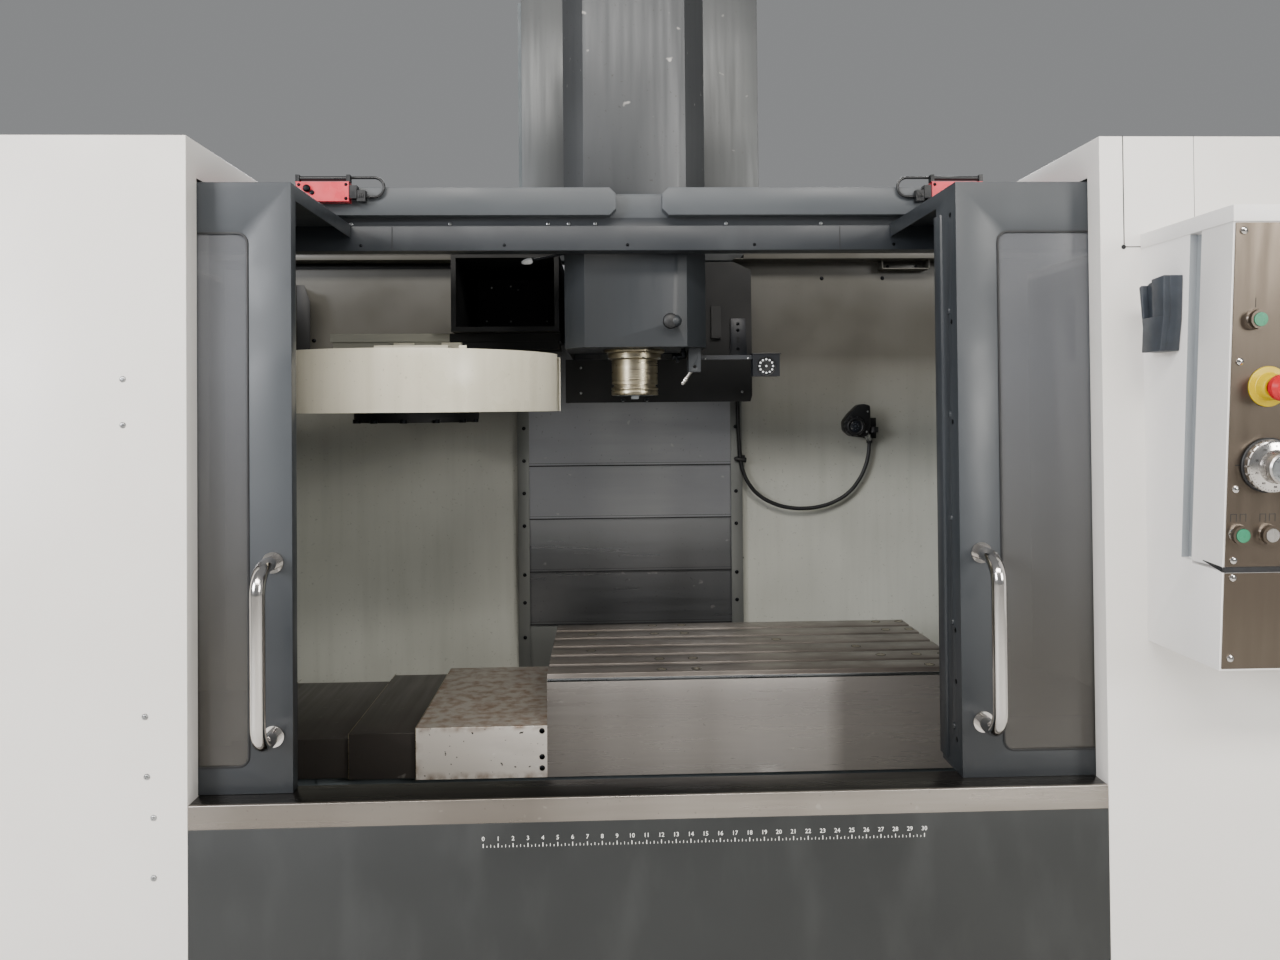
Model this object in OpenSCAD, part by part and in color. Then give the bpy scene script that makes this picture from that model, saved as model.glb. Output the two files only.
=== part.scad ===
// Vertical machining centre with a sliding two-door enclosure, drawn as its separate pieces.
// Every depth d is measured back from the plane of the white front panels.
// The rest pose is the photographed one: doors open, head up, table to the right.

/* [Enclosure] */
// Overall width of the machine
machine_w = 2920; // [2900:10:3100]
// Depth from the front panels to the back of the electrical cabinet
machine_d = 2080; // [2070:10:2300]
// Height of the white side panels
enclosure_h = 1880; // [1870:5:1960]
// Half width of the front opening
opening_half = 793; // [780:1:800]
// Thickness of the painted sheet
sheet_t = 2; // [1.5:0.1:2.5]
// Width of the folded edges of the panels
fold_w = 26; // [20:1:30]
// Height of the gap under the enclosure panels
panel_bottom = 40; // [30:5:80]
// Height of the top of the steel sill
sill_z = 741; // [735:1:750]
// Height of the front lip of the sill
sill_lip = 41; // [30:1:60]
// Depth of the steel sill from front to back
sill_d = 80; // [76:1:84]
// Distance of the side walls of the work area from the centre
liner_half = 1195; // [1185:1:1215]
// Depth of the rear wall of the work area
rear_d = 1172; // [1172:1:1176]

/* [Doors] */
// Depth of the front face of the doors
door_d = 45; // [45:1:50]
// Height of the top of the doors
door_top = 1810.3; // [1800:0.1:1815]
// Width of each door
door_w = 808; // [800:1:815]
// Distance of the open left door from the centre
left_open = 631; // [600:1:640]
// Distance of the open right door from the centre
right_open = 552; // [520:1:600]
// Distance from the door edge to the window
window_margin = 74; // [60:1:90]
// Width of each window
window_w = 560; // [500:5:600]
// Height of the lower edge of the windows
window_z0 = 787; // [780:1:900]
// Height of the upper edge of the windows
window_z1 = 1722; // [1600:1:1740]
// Corner radius of the windows
window_r = 20; // [10:1:40]
// Thickness of the window pane
pane_t = 6; // [4:1:8]
// Depth of the inner return on the right door
right_return = 100; // [80:1:120]
// Diameter of the handle tube
handle_dia = 25.4; // [22:0.1:28]
// Distance between the two feet of a handle
handle_span = 302; // [260:1:340]
// Height of the lower handle foot
handle_z = 841; // [820:1:900]
// Distance of the handle tube from the door
handle_reach = 76; // [60:1:90]
// Bend radius of the handle tube
handle_bend = 42; // [35:1:55]
// Clearance of sliding sheet parts
slide_gap = 0.3; // [0.2:0.1:0.6]

/* [Header] */
// Depth of the front face of the header
header_d = 440; // [438:1:442]
// Thickness of the header from front to back
header_t = 50; // [46:1:54]
// Height of the lower edge of the header
header_z0 = 1754; // [1740:1:1770]
// Height of the lower edge of the header covers
header_z2 = 1832; // [1828:1:1840]
// Height of the top of the header
header_z3 = 1893; // [1885:1:1910]
// Width of the gap between the two header covers
header_gap = 102; // [80:1:130]

/* [Axes] */
// Sideways place of the spindle axis
axis_x = -11; // [-15:1:5]
// Depth of the spindle axis
spindle_d = 640; // [636:1:644]
// Travel of the table
x_travel = 762; // [740:1:762]
// Travel of the saddle
y_travel = 508; // [480:1:508]
// Travel of the head
z_travel = 508; // [480:1:508]
// Place of the table to the right of the spindle at rest
table_shift = 256; // [200:1:300]
// Width of the guide rails
rail_w = 34; // [30:1:38]
// Height of the guide rails
rail_h = 30; // [26:1:30]
// Side clearance between guide blocks and rails
rail_gap = 0.3; // [0.2:0.1:0.5]
// Running clearance of shafts in their bearings
run_gap = 0.05; // [0.02:0.01:0.09]
// Diameter of the two lower ball screws
screw_dia = 32; // [28:1:40]
// Diameter of the vertical ball screw
z_screw_dia = 40; // [32:1:42]

/* [Base and column] */
// Half width of the base casting
base_half = 480; // [470:1:490]
// Depth of the front face of the base
base_d0 = 140; // [136:1:144]
// Depth of the back face of the base
base_d1 = 1660; // [1650:1:1665]
// Height of the underside of the base
base_z0 = 70; // [60:1:80]
// Height of the pads for the saddle rails
base_z1 = 480; // [478:1:482]
// Distance of the saddle rails from the axis
y_rail_x = 300; // [295:1:305]
// Half width of the column
column_half = 330; // [320:1:340]
// Distance from the rear wall back to the front face of the column
column_gap = 88; // [86:1:90]
// Height of the foot of the column
column_z0 = 560; // [550:1:570]
// Height of the top of the column
column_z1 = 2650; // [2620:1:2700]
// Height of the upper bearing of the vertical screw
screw_top = 2330; // [2310:1:2350]
// Wall thickness of the column casting
column_wall = 40; // [30:1:50]
// Distance of the head rails from the axis
z_rail_x = 230; // [225:1:240]
// Diameter of the levelling pads
foot_dia = 120; // [100:5:140]

/* [Saddle and table] */
// Height of the top of the saddle
saddle_z1 = 640; // [638:1:642]
// Half depth of the upper part of the saddle
saddle_half_d = 195; // [190:1:196]
// Half length of the saddle
saddle_half_w = 700; // [696:1:710]
// Half distance between the table rails
x_rail_d = 140; // [135:1:145]
// Length of the table
table_l = 914; // [900:1:920]
// Width of the table
table_w = 457; // [450:1:460]
// Height of the top of the table
table_z = 838; // [836:1:845]
// Thickness of the table plate
table_t = 88; // [80:1:92]
// Width of the slots in the table
slot_w = 16; // [14:1:18]
// Distance between the slots
slot_pitch = 80; // [70:1:84]
// Width of the wide part under each slot
slot_foot_w = 28; // [26:1:32]
// Height of the wide part under each slot
slot_foot_h = 12; // [10:1:14]
// Depth of each slot
slot_depth = 32; // [28:1:36]
// Height of the lower edge of the table apron
apron_z0 = 620; // [600:1:640]

/* [Way covers] */
// Height of the top of the outermost table cover
cover_z = 730; // [728:1:732]
// Step in height from one table cover to the next
cover_step_z = 13; // [12:1:14]
// Step in depth from one table cover to the next
cover_step_d = 10; // [9:1:11]
// Length of the covers fixed to the table
cover_l1 = 280; // [270:1:290]
// Length of the middle covers
cover_l2 = 290; // [285:1:300]
// Length of the outer covers
cover_l3 = 350; // [345:1:355]
// Length of the covers fixed to the saddle
cover_l4 = 400; // [395:1:410]
// Height of the lower edge of the table covers
cover_bottom = 620; // [615:1:630]
// Half width of the column cover plates
plate_half = 300; // [295:1:302]
// Distance from the rear wall forward to the first column cover plate
plate_gap = 19; // [18:1:20]
// Step in depth from one plate to the next
plate_pitch = 6; // [6:0.5:6.5]
// Thickness of the cover plates
plate_t = 2; // [1.5:0.1:2]
// Height of the lower edge of the first plate
plate_z = 1237; // [1235:1:1245]
// Height of each plate that shows
plate_show = 155; // [150:1:158]
// Height of each plate
plate_h = 195; // [190:1:200]

/* [Head] */
// Width of the flat front of the head cover
head_flat_w = 232; // [220:1:240]
// Reach of the column's upper cover to the left of the spindle
cover_left_x = 311; // [308:1:318]
// Reach of the column's upper cover to the right of the spindle
cover_right = 388; // [382:1:392]
// Width of the head cover
head_w = 326; // [310:1:330]
// Depth of the front of the head cover
head_d = 505; // [500:1:510]
// Depth of the chamfers of the head cover
head_chamfer = 45; // [35:1:55]
// Height of the underside of the head cover
head_z0 = 1546; // [1544:1:1560]
// Height of the top of the head cover
head_z1 = 2440; // [2400:5:2600]
// Height of the end of the spindle nose
nose_z = 1437; // [1435:1:1445]
// Diameter of the spindle nose
nose_dia = 110; // [100:1:116]
// Diameter of the rotating spindle
spindle_dia = 76; // [70:1:80]
// Large diameter of the tool taper
taper_dia = 44.45; // [40:0.05:50]
// Length of the tool taper
taper_l = 68.4; // [60:0.1:75]

/* [Tool changer] */
// Distance of the carousel axis to the left of the spindle at rest
carousel_x = 519; // [519:1:525]
// Number of tool pockets
pockets = 20; // [12:1:20]
// Radius of the carousel disc
disc_r = 312; // [305:1:316]
// Outer radius of the carousel cover
changer_r = 345; // [340:1:346]
// Height of the lower edge of the carousel cover
changer_z0 = 1402; // [1400:1:1404]
// Height of the upper edge of the carousel cover
changer_z1 = 1534; // [1530:1:1535]
// Half width of the mouth for the spindle nose
mouth_half = 72; // [70:1:80]

/* [Pendant] */
// Place of the left side of the pendant
pendant_x = 867; // [860:1:880]
// Width of the pendant
pendant_w = 480; // [460:5:500]
// Height of the top of the pendant cap
pendant_z1 = 1706; // [1700:1:1740]
// Height of the underside of the pendant
pendant_z0 = 992; // [980:1:1000]
// Depth of the pendant at its top
pendant_top_d = 247; // [240:1:260]
// Slope of the pendant face in degrees
pendant_tilt = 4.3; // [3:0.1:5]
// Height of the split between the pendant and its lower box
pendant_split = 1153; // [1140:1:1160]
// Thickness of the steel face plates
face_t = 2; // [1.5:0.1:3]
// Diameter of the emergency stop ring
estop_dia = 60; // [50:1:64]
// Diameter of the jog dial
dial_dia = 80; // [70:1:86]
// Diameter of the button bezels
bezel_dia = 29.5; // [26:0.5:32]
// Press travel of the buttons
button_travel = 3; // [2:0.5:4]

/* [Hidden] */
$fn = 48;

half_w = machine_w / 2;
tilt_rise = tan(pendant_tilt);
// Heights on the upper pendant plate keep their share of its height
panel_scale = (pendant_z1 - pendant_split) / 553;
estop_z = pendant_split + 279 * panel_scale;
estop_reach = 46;
front_reach = pendant_top_d - (pendant_z1 - estop_z) * tilt_rise + face_t + estop_reach;
front_y = (front_reach - machine_d) / 2;

table_x = axis_x + table_shift;
table_d = spindle_d;
saddle_z0 = base_z1 + rail_h + 14;
x_screw_z = saddle_z1 - 10;
y_screw_z = 390;
column_d = rear_d + column_gap;
plate_d = rear_d - plate_gap;
plate_top = 1830;
z_screw_d = column_d - 10;
pad_t = 10;
z_rail_d = column_d - pad_t - rail_h;
head_back_d = z_rail_d - 10;
car_l = 110;
cover_z0 = enclosure_h - 38;
band_wall = 3;
z_rail_bottom = 1040;
z_rail_top = 2180;
fixed_end = 1148;
middle_ratio = 0.786;
outer_ratio = 0.404;
shaft_r = 40;
z_levels = [for (k = [0 : 4]) plate_z - k * (plate_show + 0.7)];

function y_at(d) = front_y + d;
function face_d(z) = -pendant_top_d + (pendant_z1 - z) * tilt_rise;

// Shape helpers, all placed by sideways place x, depth d and height z.
module slab(x, d, z) {
    translate([x[0], y_at(d[0]), z[0]])
        cube([x[1] - x[0], d[1] - d[0], z[1] - z[0]]);
}

module rod_x(x, d, z, r) {
    translate([x[0], y_at(d), z]) rotate([0, 90, 0]) cylinder(h = x[1] - x[0], r = r);
}

module rod_y(x, d, z, r) {
    translate([x, y_at(d[1]), z]) rotate([90, 0, 0]) cylinder(h = d[1] - d[0], r = r);
}

module rod_z(x, d, z, r) {
    translate([x, y_at(d), z[0]]) cylinder(h = z[1] - z[0], r = r);
}

// Outline in depth and height, swept sideways.
module side_profile(points, x) {
    translate([x[0], front_y, 0]) rotate([90, 0, 90])
        linear_extrude(x[1] - x[0]) polygon(points);
}

// Outline in sideways place and height, swept in depth.
module front_profile(points, d) {
    translate([0, y_at(d[1]), 0]) rotate([90, 0, 0])
        linear_extrude(d[1] - d[0]) polygon(points);
}

// Outline in sideways place and depth, swept upwards.
module plan_profile(points, z) {
    translate([0, front_y, z[0]]) linear_extrude(z[1] - z[0]) polygon(points);
}

module at_axis() {
    translate([axis_x, 0, 0]) children();
}

module mirror_pair() {
    children();
    mirror([1, 0, 0]) children();
}

// Cast iron base
base_feet_d = [base_d0 + 80, (base_d0 + base_d1) / 2, base_d1 - 80];
base_feet_x = base_half - 60;

function base_outline() =
    let (right = [[base_half, base_z0], [base_half, 340], [380, 430],
        [y_rail_x + 45, 430], [y_rail_x + 45, base_z1], [y_rail_x - 45, base_z1],
        [y_rail_x - 45, 430], [180, 430], [180, 300]])
    concat(right, [for (i = [len(right) - 1 : -1 : 0]) [-right[i][0], right[i][1]]]);

module base_casting() {
    wall = 30;
    color("#5c6468") at_axis() difference() {
        union() {
            difference() {
                union() {
                    front_profile(base_outline(), [base_d0, base_d1]);
                    slab([-column_half - 20, column_half + 20], [column_d - 25, base_d1],
                        [base_z0, column_z0]);
                }
                for (x = [[-base_half + wall, -200], [-170, 170], [200, base_half - wall]])
                    for (d = [[base_d0 + wall, 540], [570, 1050], [1080, base_d1 - wall]])
                        slab(x, d, [base_z0 - 1, abs(x[0] + x[1]) > 100 ? 320 : 260]);
                slab([-100, 100], [column_d - 26, base_d1 + 1], [300, 480]);
            }
            for (x = [-base_feet_x, base_feet_x])
                for (d = base_feet_d)
                    rod_z(x, d, [base_z0, 330], 45);
            for (d = [[190, 230], [1160, 1200]])
                slab([-181, 181], d, [290, 450]);
        }
        for (x = [-base_feet_x, base_feet_x])
            for (d = base_feet_d)
                rod_z(x, d, [base_z0 - 1, 200], 15 + run_gap);
        rod_y(0, [180, 1210], y_screw_z, screw_dia / 2 + run_gap);
    }
}

module leveling_feet() {
    color("#8d9094") at_axis()
        for (x = [-base_feet_x, base_feet_x])
            for (d = base_feet_d) {
                rod_z(x, d, [0, 14], foot_dia / 2);
                rod_z(x, d, [14, 24], foot_dia / 3);
                rod_z(x, d, [24, 190], 15);
                translate([x, y_at(d), base_z0 - 18]) cylinder(h = 18, r = 28, $fn = 6);
            }
}

// Column with inner ribs, rail pads and bearing blocks for the vertical screw
module column_casting() {
    back = base_d1 - 20;
    color("#6f7477") at_axis() difference() {
        union() {
            difference() {
                plan_profile([[-column_half, column_d], [column_half, column_d],
                    [column_half, back - 90], [column_half - 70, back],
                    [-column_half + 70, back], [-column_half, back - 90]],
                    [column_z0, column_z1]);
                for (z = [column_z0 + column_wall : 350 : column_z1 - 300])
                    slab([-column_half + column_wall, column_half - column_wall],
                        [column_d + 90, back - column_wall - 50], [z, z + 310]);
                slab([-70, 70], [column_d - 1, column_d + 50], [1000, screw_top]);
                // Bay of the vertical motor, open to the front and above
                slab([-95, 95], [column_d - 1, column_d + 70], [screw_top, column_z1 + 1]);
                for (z = [column_z0 + 140 : 350 : column_z1 - 300])
                    rod_y(0, [back - column_wall - 60, back + 1], z + 55, 90);
            }
            for (x = [-z_rail_x, z_rail_x])
                slab([x - 30, x + 30], [column_d - pad_t, column_d + 1],
                    [z_rail_bottom - 20, z_rail_top + 20]);
            slab([-75, 75], [column_d - 45, column_d + 55], [990, 1030]);
            slab([-94, 94], [column_d - 80, column_d + 60], [screw_top - 40, screw_top]);
        }
        rod_z(0, z_screw_d, [980, screw_top + 1], z_screw_dia / 2 + run_gap);
    }
    // Narrow cable riser on the right side of the column
    color("#b9b0a2") at_axis()
        slab([column_half, cover_right], [column_d, column_d + 200],
            [enclosure_h - 60, column_z1]);
}

module rail_y(x, z, d) {
    slab([x - rail_w / 2, x + rail_w / 2], d, [z, z + rail_h]);
}

// Rails for the saddle and for the head
module linear_rails() {
    color("#a7abae") at_axis() {
        for (x = [-y_rail_x, y_rail_x])
            rail_y(x, base_z1, [165, 1115]);
        for (x = [-z_rail_x, z_rail_x])
            slab([x - rail_w / 2, x + rail_w / 2], [z_rail_d, z_rail_d + rail_h],
                [z_rail_bottom, z_rail_top]);
    }
}

module servo_motor(l, w) {
    // Stands on its flange at z = 0 and reaches up
    flange = 12;
    translate([-w / 2, -w / 2, 0]) cube([w, w, flange]);
    for (i = [0 : 2])
        translate([-w / 2 + 4, -w / 2 + 4, flange + i * (l - 60) / 3])
            cube([w - 8, w - 8, (l - 60) / 3 - 3]);
    translate([0, 0, flange]) cylinder(h = l - 60, r = w / 2 - 8);
    translate([0, 0, l - 48]) cylinder(h = 48, r = w / 2 - 6);
}

module axis_motors() {
    color("#2b2d30") at_axis() {
        translate([0, y_at(1200), y_screw_z]) rotate([-90, 0, 0]) servo_motor(210, 120);
        translate([0, y_at(z_screw_d), screw_top]) servo_motor(230, 140);
    }
}

// Enclosure panel set: front, outer side, folded edges and top box over the parked door
module enclosure_side() {
    inner = opening_half;
    outer = half_w;
    side_d = base_d1 + 90;
    wall_z0 = door_top + 6;
    slab([-outer, -inner], [0, sheet_t], [panel_bottom, enclosure_h]);
    slab([-outer, -outer + sheet_t], [0, side_d], [panel_bottom, enclosure_h]);
    slab([-inner - sheet_t, -inner], [0, door_d - 2], [panel_bottom, enclosure_h]);
    slab([-inner - sheet_t, -inner], [0, header_d - 4], [wall_z0, enclosure_h]);
    slab([-outer, -inner], [0, header_d - 4], [enclosure_h - sheet_t, enclosure_h]);
    difference() {
        slab([-outer, -outer + fold_w], [0, side_d], [enclosure_h - sheet_t, enclosure_h]);
        slab([-outer + sheet_t, -outer + fold_w + 1], [header_d - 1, header_d + 36],
            [enclosure_h - sheet_t - 1, enclosure_h + 1]);
    }
    slab([-outer, -outer + fold_w], [side_d - sheet_t, side_d], [panel_bottom, enclosure_h]);
    slab([-outer, -inner], [0, fold_w], [panel_bottom, panel_bottom + sheet_t]);
    // Upright stiffener and a tie to the back of the interior side wall
    slab([-outer, -liner_half], [rear_d - 40, rear_d - 40 + sheet_t], [300, 1700]);
    for (x = [-outer + 60, -inner - 80])
        slab([x, x + 50], [sheet_t, 22], [0, panel_bottom + 60]);
}

module left_enclosure() {
    color("#d9d6d1") enclosure_side();
}

module right_enclosure() {
    color("#d9d6d1") mirror([1, 0, 0]) enclosure_side();
}

module front_apron() {
    edge = opening_half - 0.5;
    color("#45484a") side_profile([[0, panel_bottom], [20, panel_bottom],
        [20, panel_bottom + sheet_t], [sheet_t, panel_bottom + sheet_t],
        [sheet_t, sill_z - sill_lip - sheet_t], [20, sill_z - sill_lip - sheet_t],
        [20, sill_z - sill_lip], [0, sill_z - sill_lip]], [-edge, edge]);
}

// Stainless sill with a folded front lip and a splash drop at the back
module front_sill() {
    edge = opening_half - 0.5;
    drop = 200;
    color("#a9a39e") side_profile([[0, sill_z - sill_lip], [sheet_t, sill_z - sill_lip],
        [sheet_t, sill_z - sheet_t], [sill_d - sheet_t, sill_z - sheet_t],
        [sill_d - sheet_t, sill_z - drop], [sill_d, sill_z - drop],
        [sill_d, sill_z - 1], [sill_d - 1, sill_z], [1, sill_z], [0, sill_z - 1]],
        [-edge, edge]);
}

// Rear and side walls of the work area, one folded lining
liner_top = door_top - fold_w - sheet_t - 2.3;
liner_z0 = 480;
wall_cut = plate_half + 6;

module interior_liner() {
    color("#a3a59c") {
        difference() {
            slab([-liner_half, liner_half], [rear_d, rear_d + sheet_t],
                [liner_z0, enclosure_h - 40]);
            at_axis() slab([-wall_cut, wall_cut], [rear_d - 1, rear_d + sheet_t + 1],
                [liner_z0 + 160, enclosure_h]);
            // Slot that the tool changer beam passes through
            slab([-460, -330], [rear_d - 1, rear_d + sheet_t + 1], [1595, 1785]);
        }
        mirror_pair() difference() {
            slab([liner_half - sheet_t, liner_half], [sill_d + 5, rear_d + sheet_t],
                [liner_z0, liner_top]);
            slab([liner_half - sheet_t - 1, liner_half + 1],
                [header_d - 1, header_d + header_t + 1], [header_z0 - 1, liner_top + 1]);
        }
        // Ledges under the roof line on both sides of the head
        for (x = [[-liner_half, axis_x - wall_cut], [axis_x + wall_cut, liner_half]])
            slab(x, [rear_d - 72, rear_d + sheet_t],
                [enclosure_h - 42, enclosure_h - 40]);
    }
}

// Sloped sheets that lead the chips down to the base
module chip_pan() {
    low = 330;
    inner = base_half + 12;
    front = sill_d + 5;
    color("#6f7270") {
        for (side = [-1, 1])
            front_profile([[side * inner + axis_x, low], [side * liner_half, liner_z0 - sheet_t],
                [side * liner_half, liner_z0], [side * inner + axis_x, low + sheet_t]],
                [front, rear_d]);
        side_profile([[front, low], [base_d0 - 0.5, low], [base_d0 - 0.5, low + sheet_t],
            [front + sheet_t, low + sheet_t], [front + sheet_t, sill_z - 150],
            [front, sill_z - 150]], [-opening_half, opening_half]);
    }
}

// Header: lower channel, recessed track for the door roofs, and two hung covers
shelf_z = door_top - sheet_t - slide_gap;
header_gap_x = -4;

module header_cover(x) {
    r = 14;
    front_profile([[x[0], header_z2], [x[1] - r, header_z2], [x[1], header_z2 + r],
        [x[1], header_z3 - r], [x[1] - r, header_z3], [x[0], header_z3]],
        [header_d, header_d + 30]);
}

module header_beam() {
    web_d = header_d + 30;
    end = half_w - sheet_t;
    color("#6d7072") {
        difference() {
            side_profile([[header_d, header_z0], [header_d + header_t, header_z0],
                [header_d + header_t, shelf_z], [web_d + 4, shelf_z],
                [web_d + 4, header_z3 - 8], [web_d, header_z3 - 8],
                [web_d, shelf_z], [header_d, shelf_z]], [-end, end]);
            slab([-end - 1, end + 1], [header_d + 3, header_d + header_t - 3],
                [header_z0 + 3, shelf_z - 3]);
        }
        // Covers in front of the web, with the gap near the centre of the head
        translate([header_gap_x, 0, 0]) {
            header_cover([-end - header_gap_x, -header_gap / 2]);
            mirror([1, 0, 0]) header_cover([-end + header_gap_x, -header_gap / 2]);
        }
        for (x = [-end + 40, end - 80])
            slab([x, x + 40], [header_d + header_t, rear_d], [1700 + 70, 1700 + 100]);
    }
}

module tube(path, r, sides) {
    n = len(path);
    function unit(v) = v / norm(v);
    function heading(i) = unit(path[min(i + 1, n - 1)] - path[max(i - 1, 0)]);
    function side_of(t) = unit(cross(t, abs(t[1]) > 0.9 ? [1, 0, 0] : [0, 1, 0]));
    ring = [for (i = [0 : n - 1]) let (t = heading(i), s = side_of(t), u = cross(t, s))
        for (k = [0 : sides - 1])
            path[i] + r * (cos(360 * k / sides) * s + sin(360 * k / sides) * u)];
    walls = [for (i = [0 : n - 2]) for (k = [0 : sides - 1])
        let (a = i * sides + k, b = i * sides + (k + 1) % sides)
        [a, b, b + sides, a + sides]];
    caps = [[for (k = [sides - 1 : -1 : 0]) k],
        [for (k = [0 : sides - 1]) (n - 1) * sides + k]];
    polyhedron(ring, concat(walls, caps));
}

// Door switches on the face of the header covers, each with its plug and a short lead
module interlock_unit() {
    // Body runs from x = 0 to the right, with its plug at the right end
    color("#d3414a") slab([0, 112], [header_d - 26, header_d], [1857, 1899]);
    color("#d3414a") rod_y(24, [header_d - 30, header_d - 26], 1884, 6);
    color("#1a1b1d") slab([112, 128], [header_d - 24, header_d - 2], [1864, 1892]);
    color("#1a1b1d") slab([128, 146], [header_d - 22, header_d - 4], [1858, 1882]);
    color("#b5b2ac") rod_x([4, 108], header_d - 16, 1908, 5);
    color("#1a1b1d") for (x = [-2, 106]) slab([x, x + 8], [header_d - 24, header_d - 8],
        [1899, 1915]);
    // Short lead that loops back over the plug
    color("#8f8f90") {
        rod_x([145, 162], header_d - 7, 1870, 3);
        rod_x([110, 162], header_d - 7, 1912, 3);
        translate([162, y_at(header_d - 7), 1891]) rotate([90, 0, 0]) rotate([0, 0, -90])
            rotate_extrude(angle = 180) translate([21, 0]) circle(r = 3);
    }
}

switch_x = 741;

module interlock_switches() {
    translate([-switch_x, 0, 0]) interlock_unit();
    translate([switch_x + 10, 0, 0]) mirror([1, 0, 0]) interlock_unit();
}

// Side strips and the lowest plate in front of the vertical screw
module z_cover_frame() {
    strip_in = plate_half - 4;
    strip_out = plate_half + 30;
    last = plate_d + 4 * plate_pitch;
    strip_top = 1460;
    color("#8b8e8a") at_axis() {
        for (side = [-1, 1]) {
            mirror([side < 0 ? 1 : 0, 0, 0]) {
                slab([strip_in, strip_out], [plate_d - 4, plate_d - 4 + sheet_t],
                    [liner_z0 + 170, strip_top]);
                slab([wall_cut - sheet_t, wall_cut], [plate_d - 4, rear_d + 22],
                    [liner_z0 + 170, strip_top]);
            }
        }
        slab([-wall_cut, wall_cut], [last, last + plate_t], [liner_z0, z_levels[3] + 35]);
        // Upper cover of the column, one folded sheet on each side of the head
        slab([-cover_left_x, -head_w / 2 - 3], [plate_d, plate_d + sheet_t], [cover_z0, column_z1]);
        slab([-cover_left_x, -cover_left_x + sheet_t], [plate_d, column_d], [cover_z0, column_z1]);
        slab([head_w / 2 + 3, cover_right], [plate_d, plate_d + sheet_t], [cover_z0, column_z1]);
        slab([cover_right - sheet_t, cover_right], [plate_d, column_d], [cover_z0, column_z1]);
    }
}

module plate_sheet(k) {
    d = plate_d + k * plate_pitch;
    z = z_levels[k];
    hem = plate_pitch - plate_t - 0.5;
    slab([-plate_half, plate_half], [d, d + plate_t], [z, z + plate_h]);
    slab([-plate_half, plate_half], [d, d + plate_t + hem], [z, z + 3]);
    slab([-plate_half + 1, plate_half - 1], [d - hem, d + plate_t],
        [z + plate_h - 3, z + plate_h]);
}

module z_cover_plate_1() {
    d = plate_d;
    hem = plate_pitch - plate_t - 0.5;
    color("#8a8884") at_axis() {
        difference() {
            slab([-plate_half, plate_half], [d, d + plate_t], [plate_z, plate_top]);
            slab([-head_w / 2 - 2, head_w / 2 + 2], [d - 1, d + plate_t + 1],
                [head_z0 + 20, plate_top + 1]);
            for (x = [-head_w / 2 - 0.5, head_w / 2 - 3])
                slab([x, x + 3.5], [d - 1, d + plate_t + 1], [head_z0 - 1, head_z0 + 21]);
        }
        slab([-plate_half, plate_half], [d, d + plate_t + hem], [plate_z, plate_z + 3]);
    }
}

module z_cover_plate_2() {
    color("#7d7c79") at_axis() plate_sheet(1);
}

module z_cover_plate_3() {
    color("#716f6d") at_axis() plate_sheet(2);
}

module z_cover_plate_4() {
    color("#656361") at_axis() plate_sheet(3);
}

// Electrical cabinet on the back, with its door and two latches
module control_cabinet() {
    w = 960;
    d0 = base_d1 + 20;
    color("#d3d0ca") {
        difference() {
            slab([-w / 2, w / 2], [d0, machine_d - 18], [420, 2080]);
            slab([-w / 2 + 3, w / 2 - 3], [d0 + 3, machine_d - 17], [423, 2077]);
        }
        slab([-w / 2, w / 2], [machine_d - 18, machine_d - 2], [420, 2080]);
        for (z = [700, 1700])
            slab([w / 2 - 60, w / 2 - 40], [machine_d - 2, machine_d], [z, z + 90]);
        for (x = [-250, 170])
            for (z = [700, 1800])
                slab([x, x + 80], [base_d1 - 20, d0], [z, z + 60]);
    }
}

// Servo table of the pendant: sloped front, recessed side channels and a split lower box
module pendant_housing() {
    rear_top = 138;
    rear_low = 100;
    gap_low = 28;
    gap_top = 31;
    split = 5;
    wall = 5;
    body_top = pendant_z1 - 25;
    module outline() {
        side_profile([[0, pendant_z0], [0, body_top], [face_d(body_top), body_top],
            [face_d(pendant_z0), pendant_z0]], [pendant_x, pendant_x + pendant_w]);
    }
    color("#dbd8d4") difference() {
        outline();
        // Recessed channels on both sides between the rear body and the control unit
        for (x = [pendant_x - 1, pendant_x + pendant_w - 13])
            side_profile([[-rear_low, pendant_split], [-rear_low - gap_low, pendant_split],
                [-rear_top - gap_top, body_top + 1], [-rear_top, body_top + 1]], [x, x + 14]);
        // Shadow gap between the control unit and the lower box
        slab([pendant_x - 1, pendant_x + pendant_w + 1],
            [face_d(pendant_split) - 10, -rear_low - gap_low],
            [pendant_split - split, pendant_split]);
        control_holes();
        // Hollow behind the two face plates
        side_profile([[-wall, pendant_split + wall], [-wall, body_top - wall],
            [face_d(body_top) - 9, body_top - wall], [face_d(pendant_split) - 9, pendant_split + wall]],
            [pendant_x + 13 + wall, pendant_x + pendant_w - 13 - wall]);
        side_profile([[-wall, pendant_z0 + wall], [-wall, pendant_split - split - wall],
            [face_d(pendant_split) - 9, pendant_split - split - wall],
            [face_d(pendant_z0) - 9, pendant_z0 + wall]],
            [pendant_x + 13 + wall, pendant_x + pendant_w - 13 - wall]);
    }
    color("#e2dfdb") side_profile([[0, body_top], [0, pendant_z1],
        [face_d(pendant_z1) - 2, pendant_z1], [face_d(body_top) - 3, body_top]],
        [pendant_x - 2, pendant_x + pendant_w + 2]);
}

module on_face(x, z) {
    translate([x, y_at(face_d(z)), z]) rotate([90 + pendant_tilt, 0, 0]) children();
}

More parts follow.
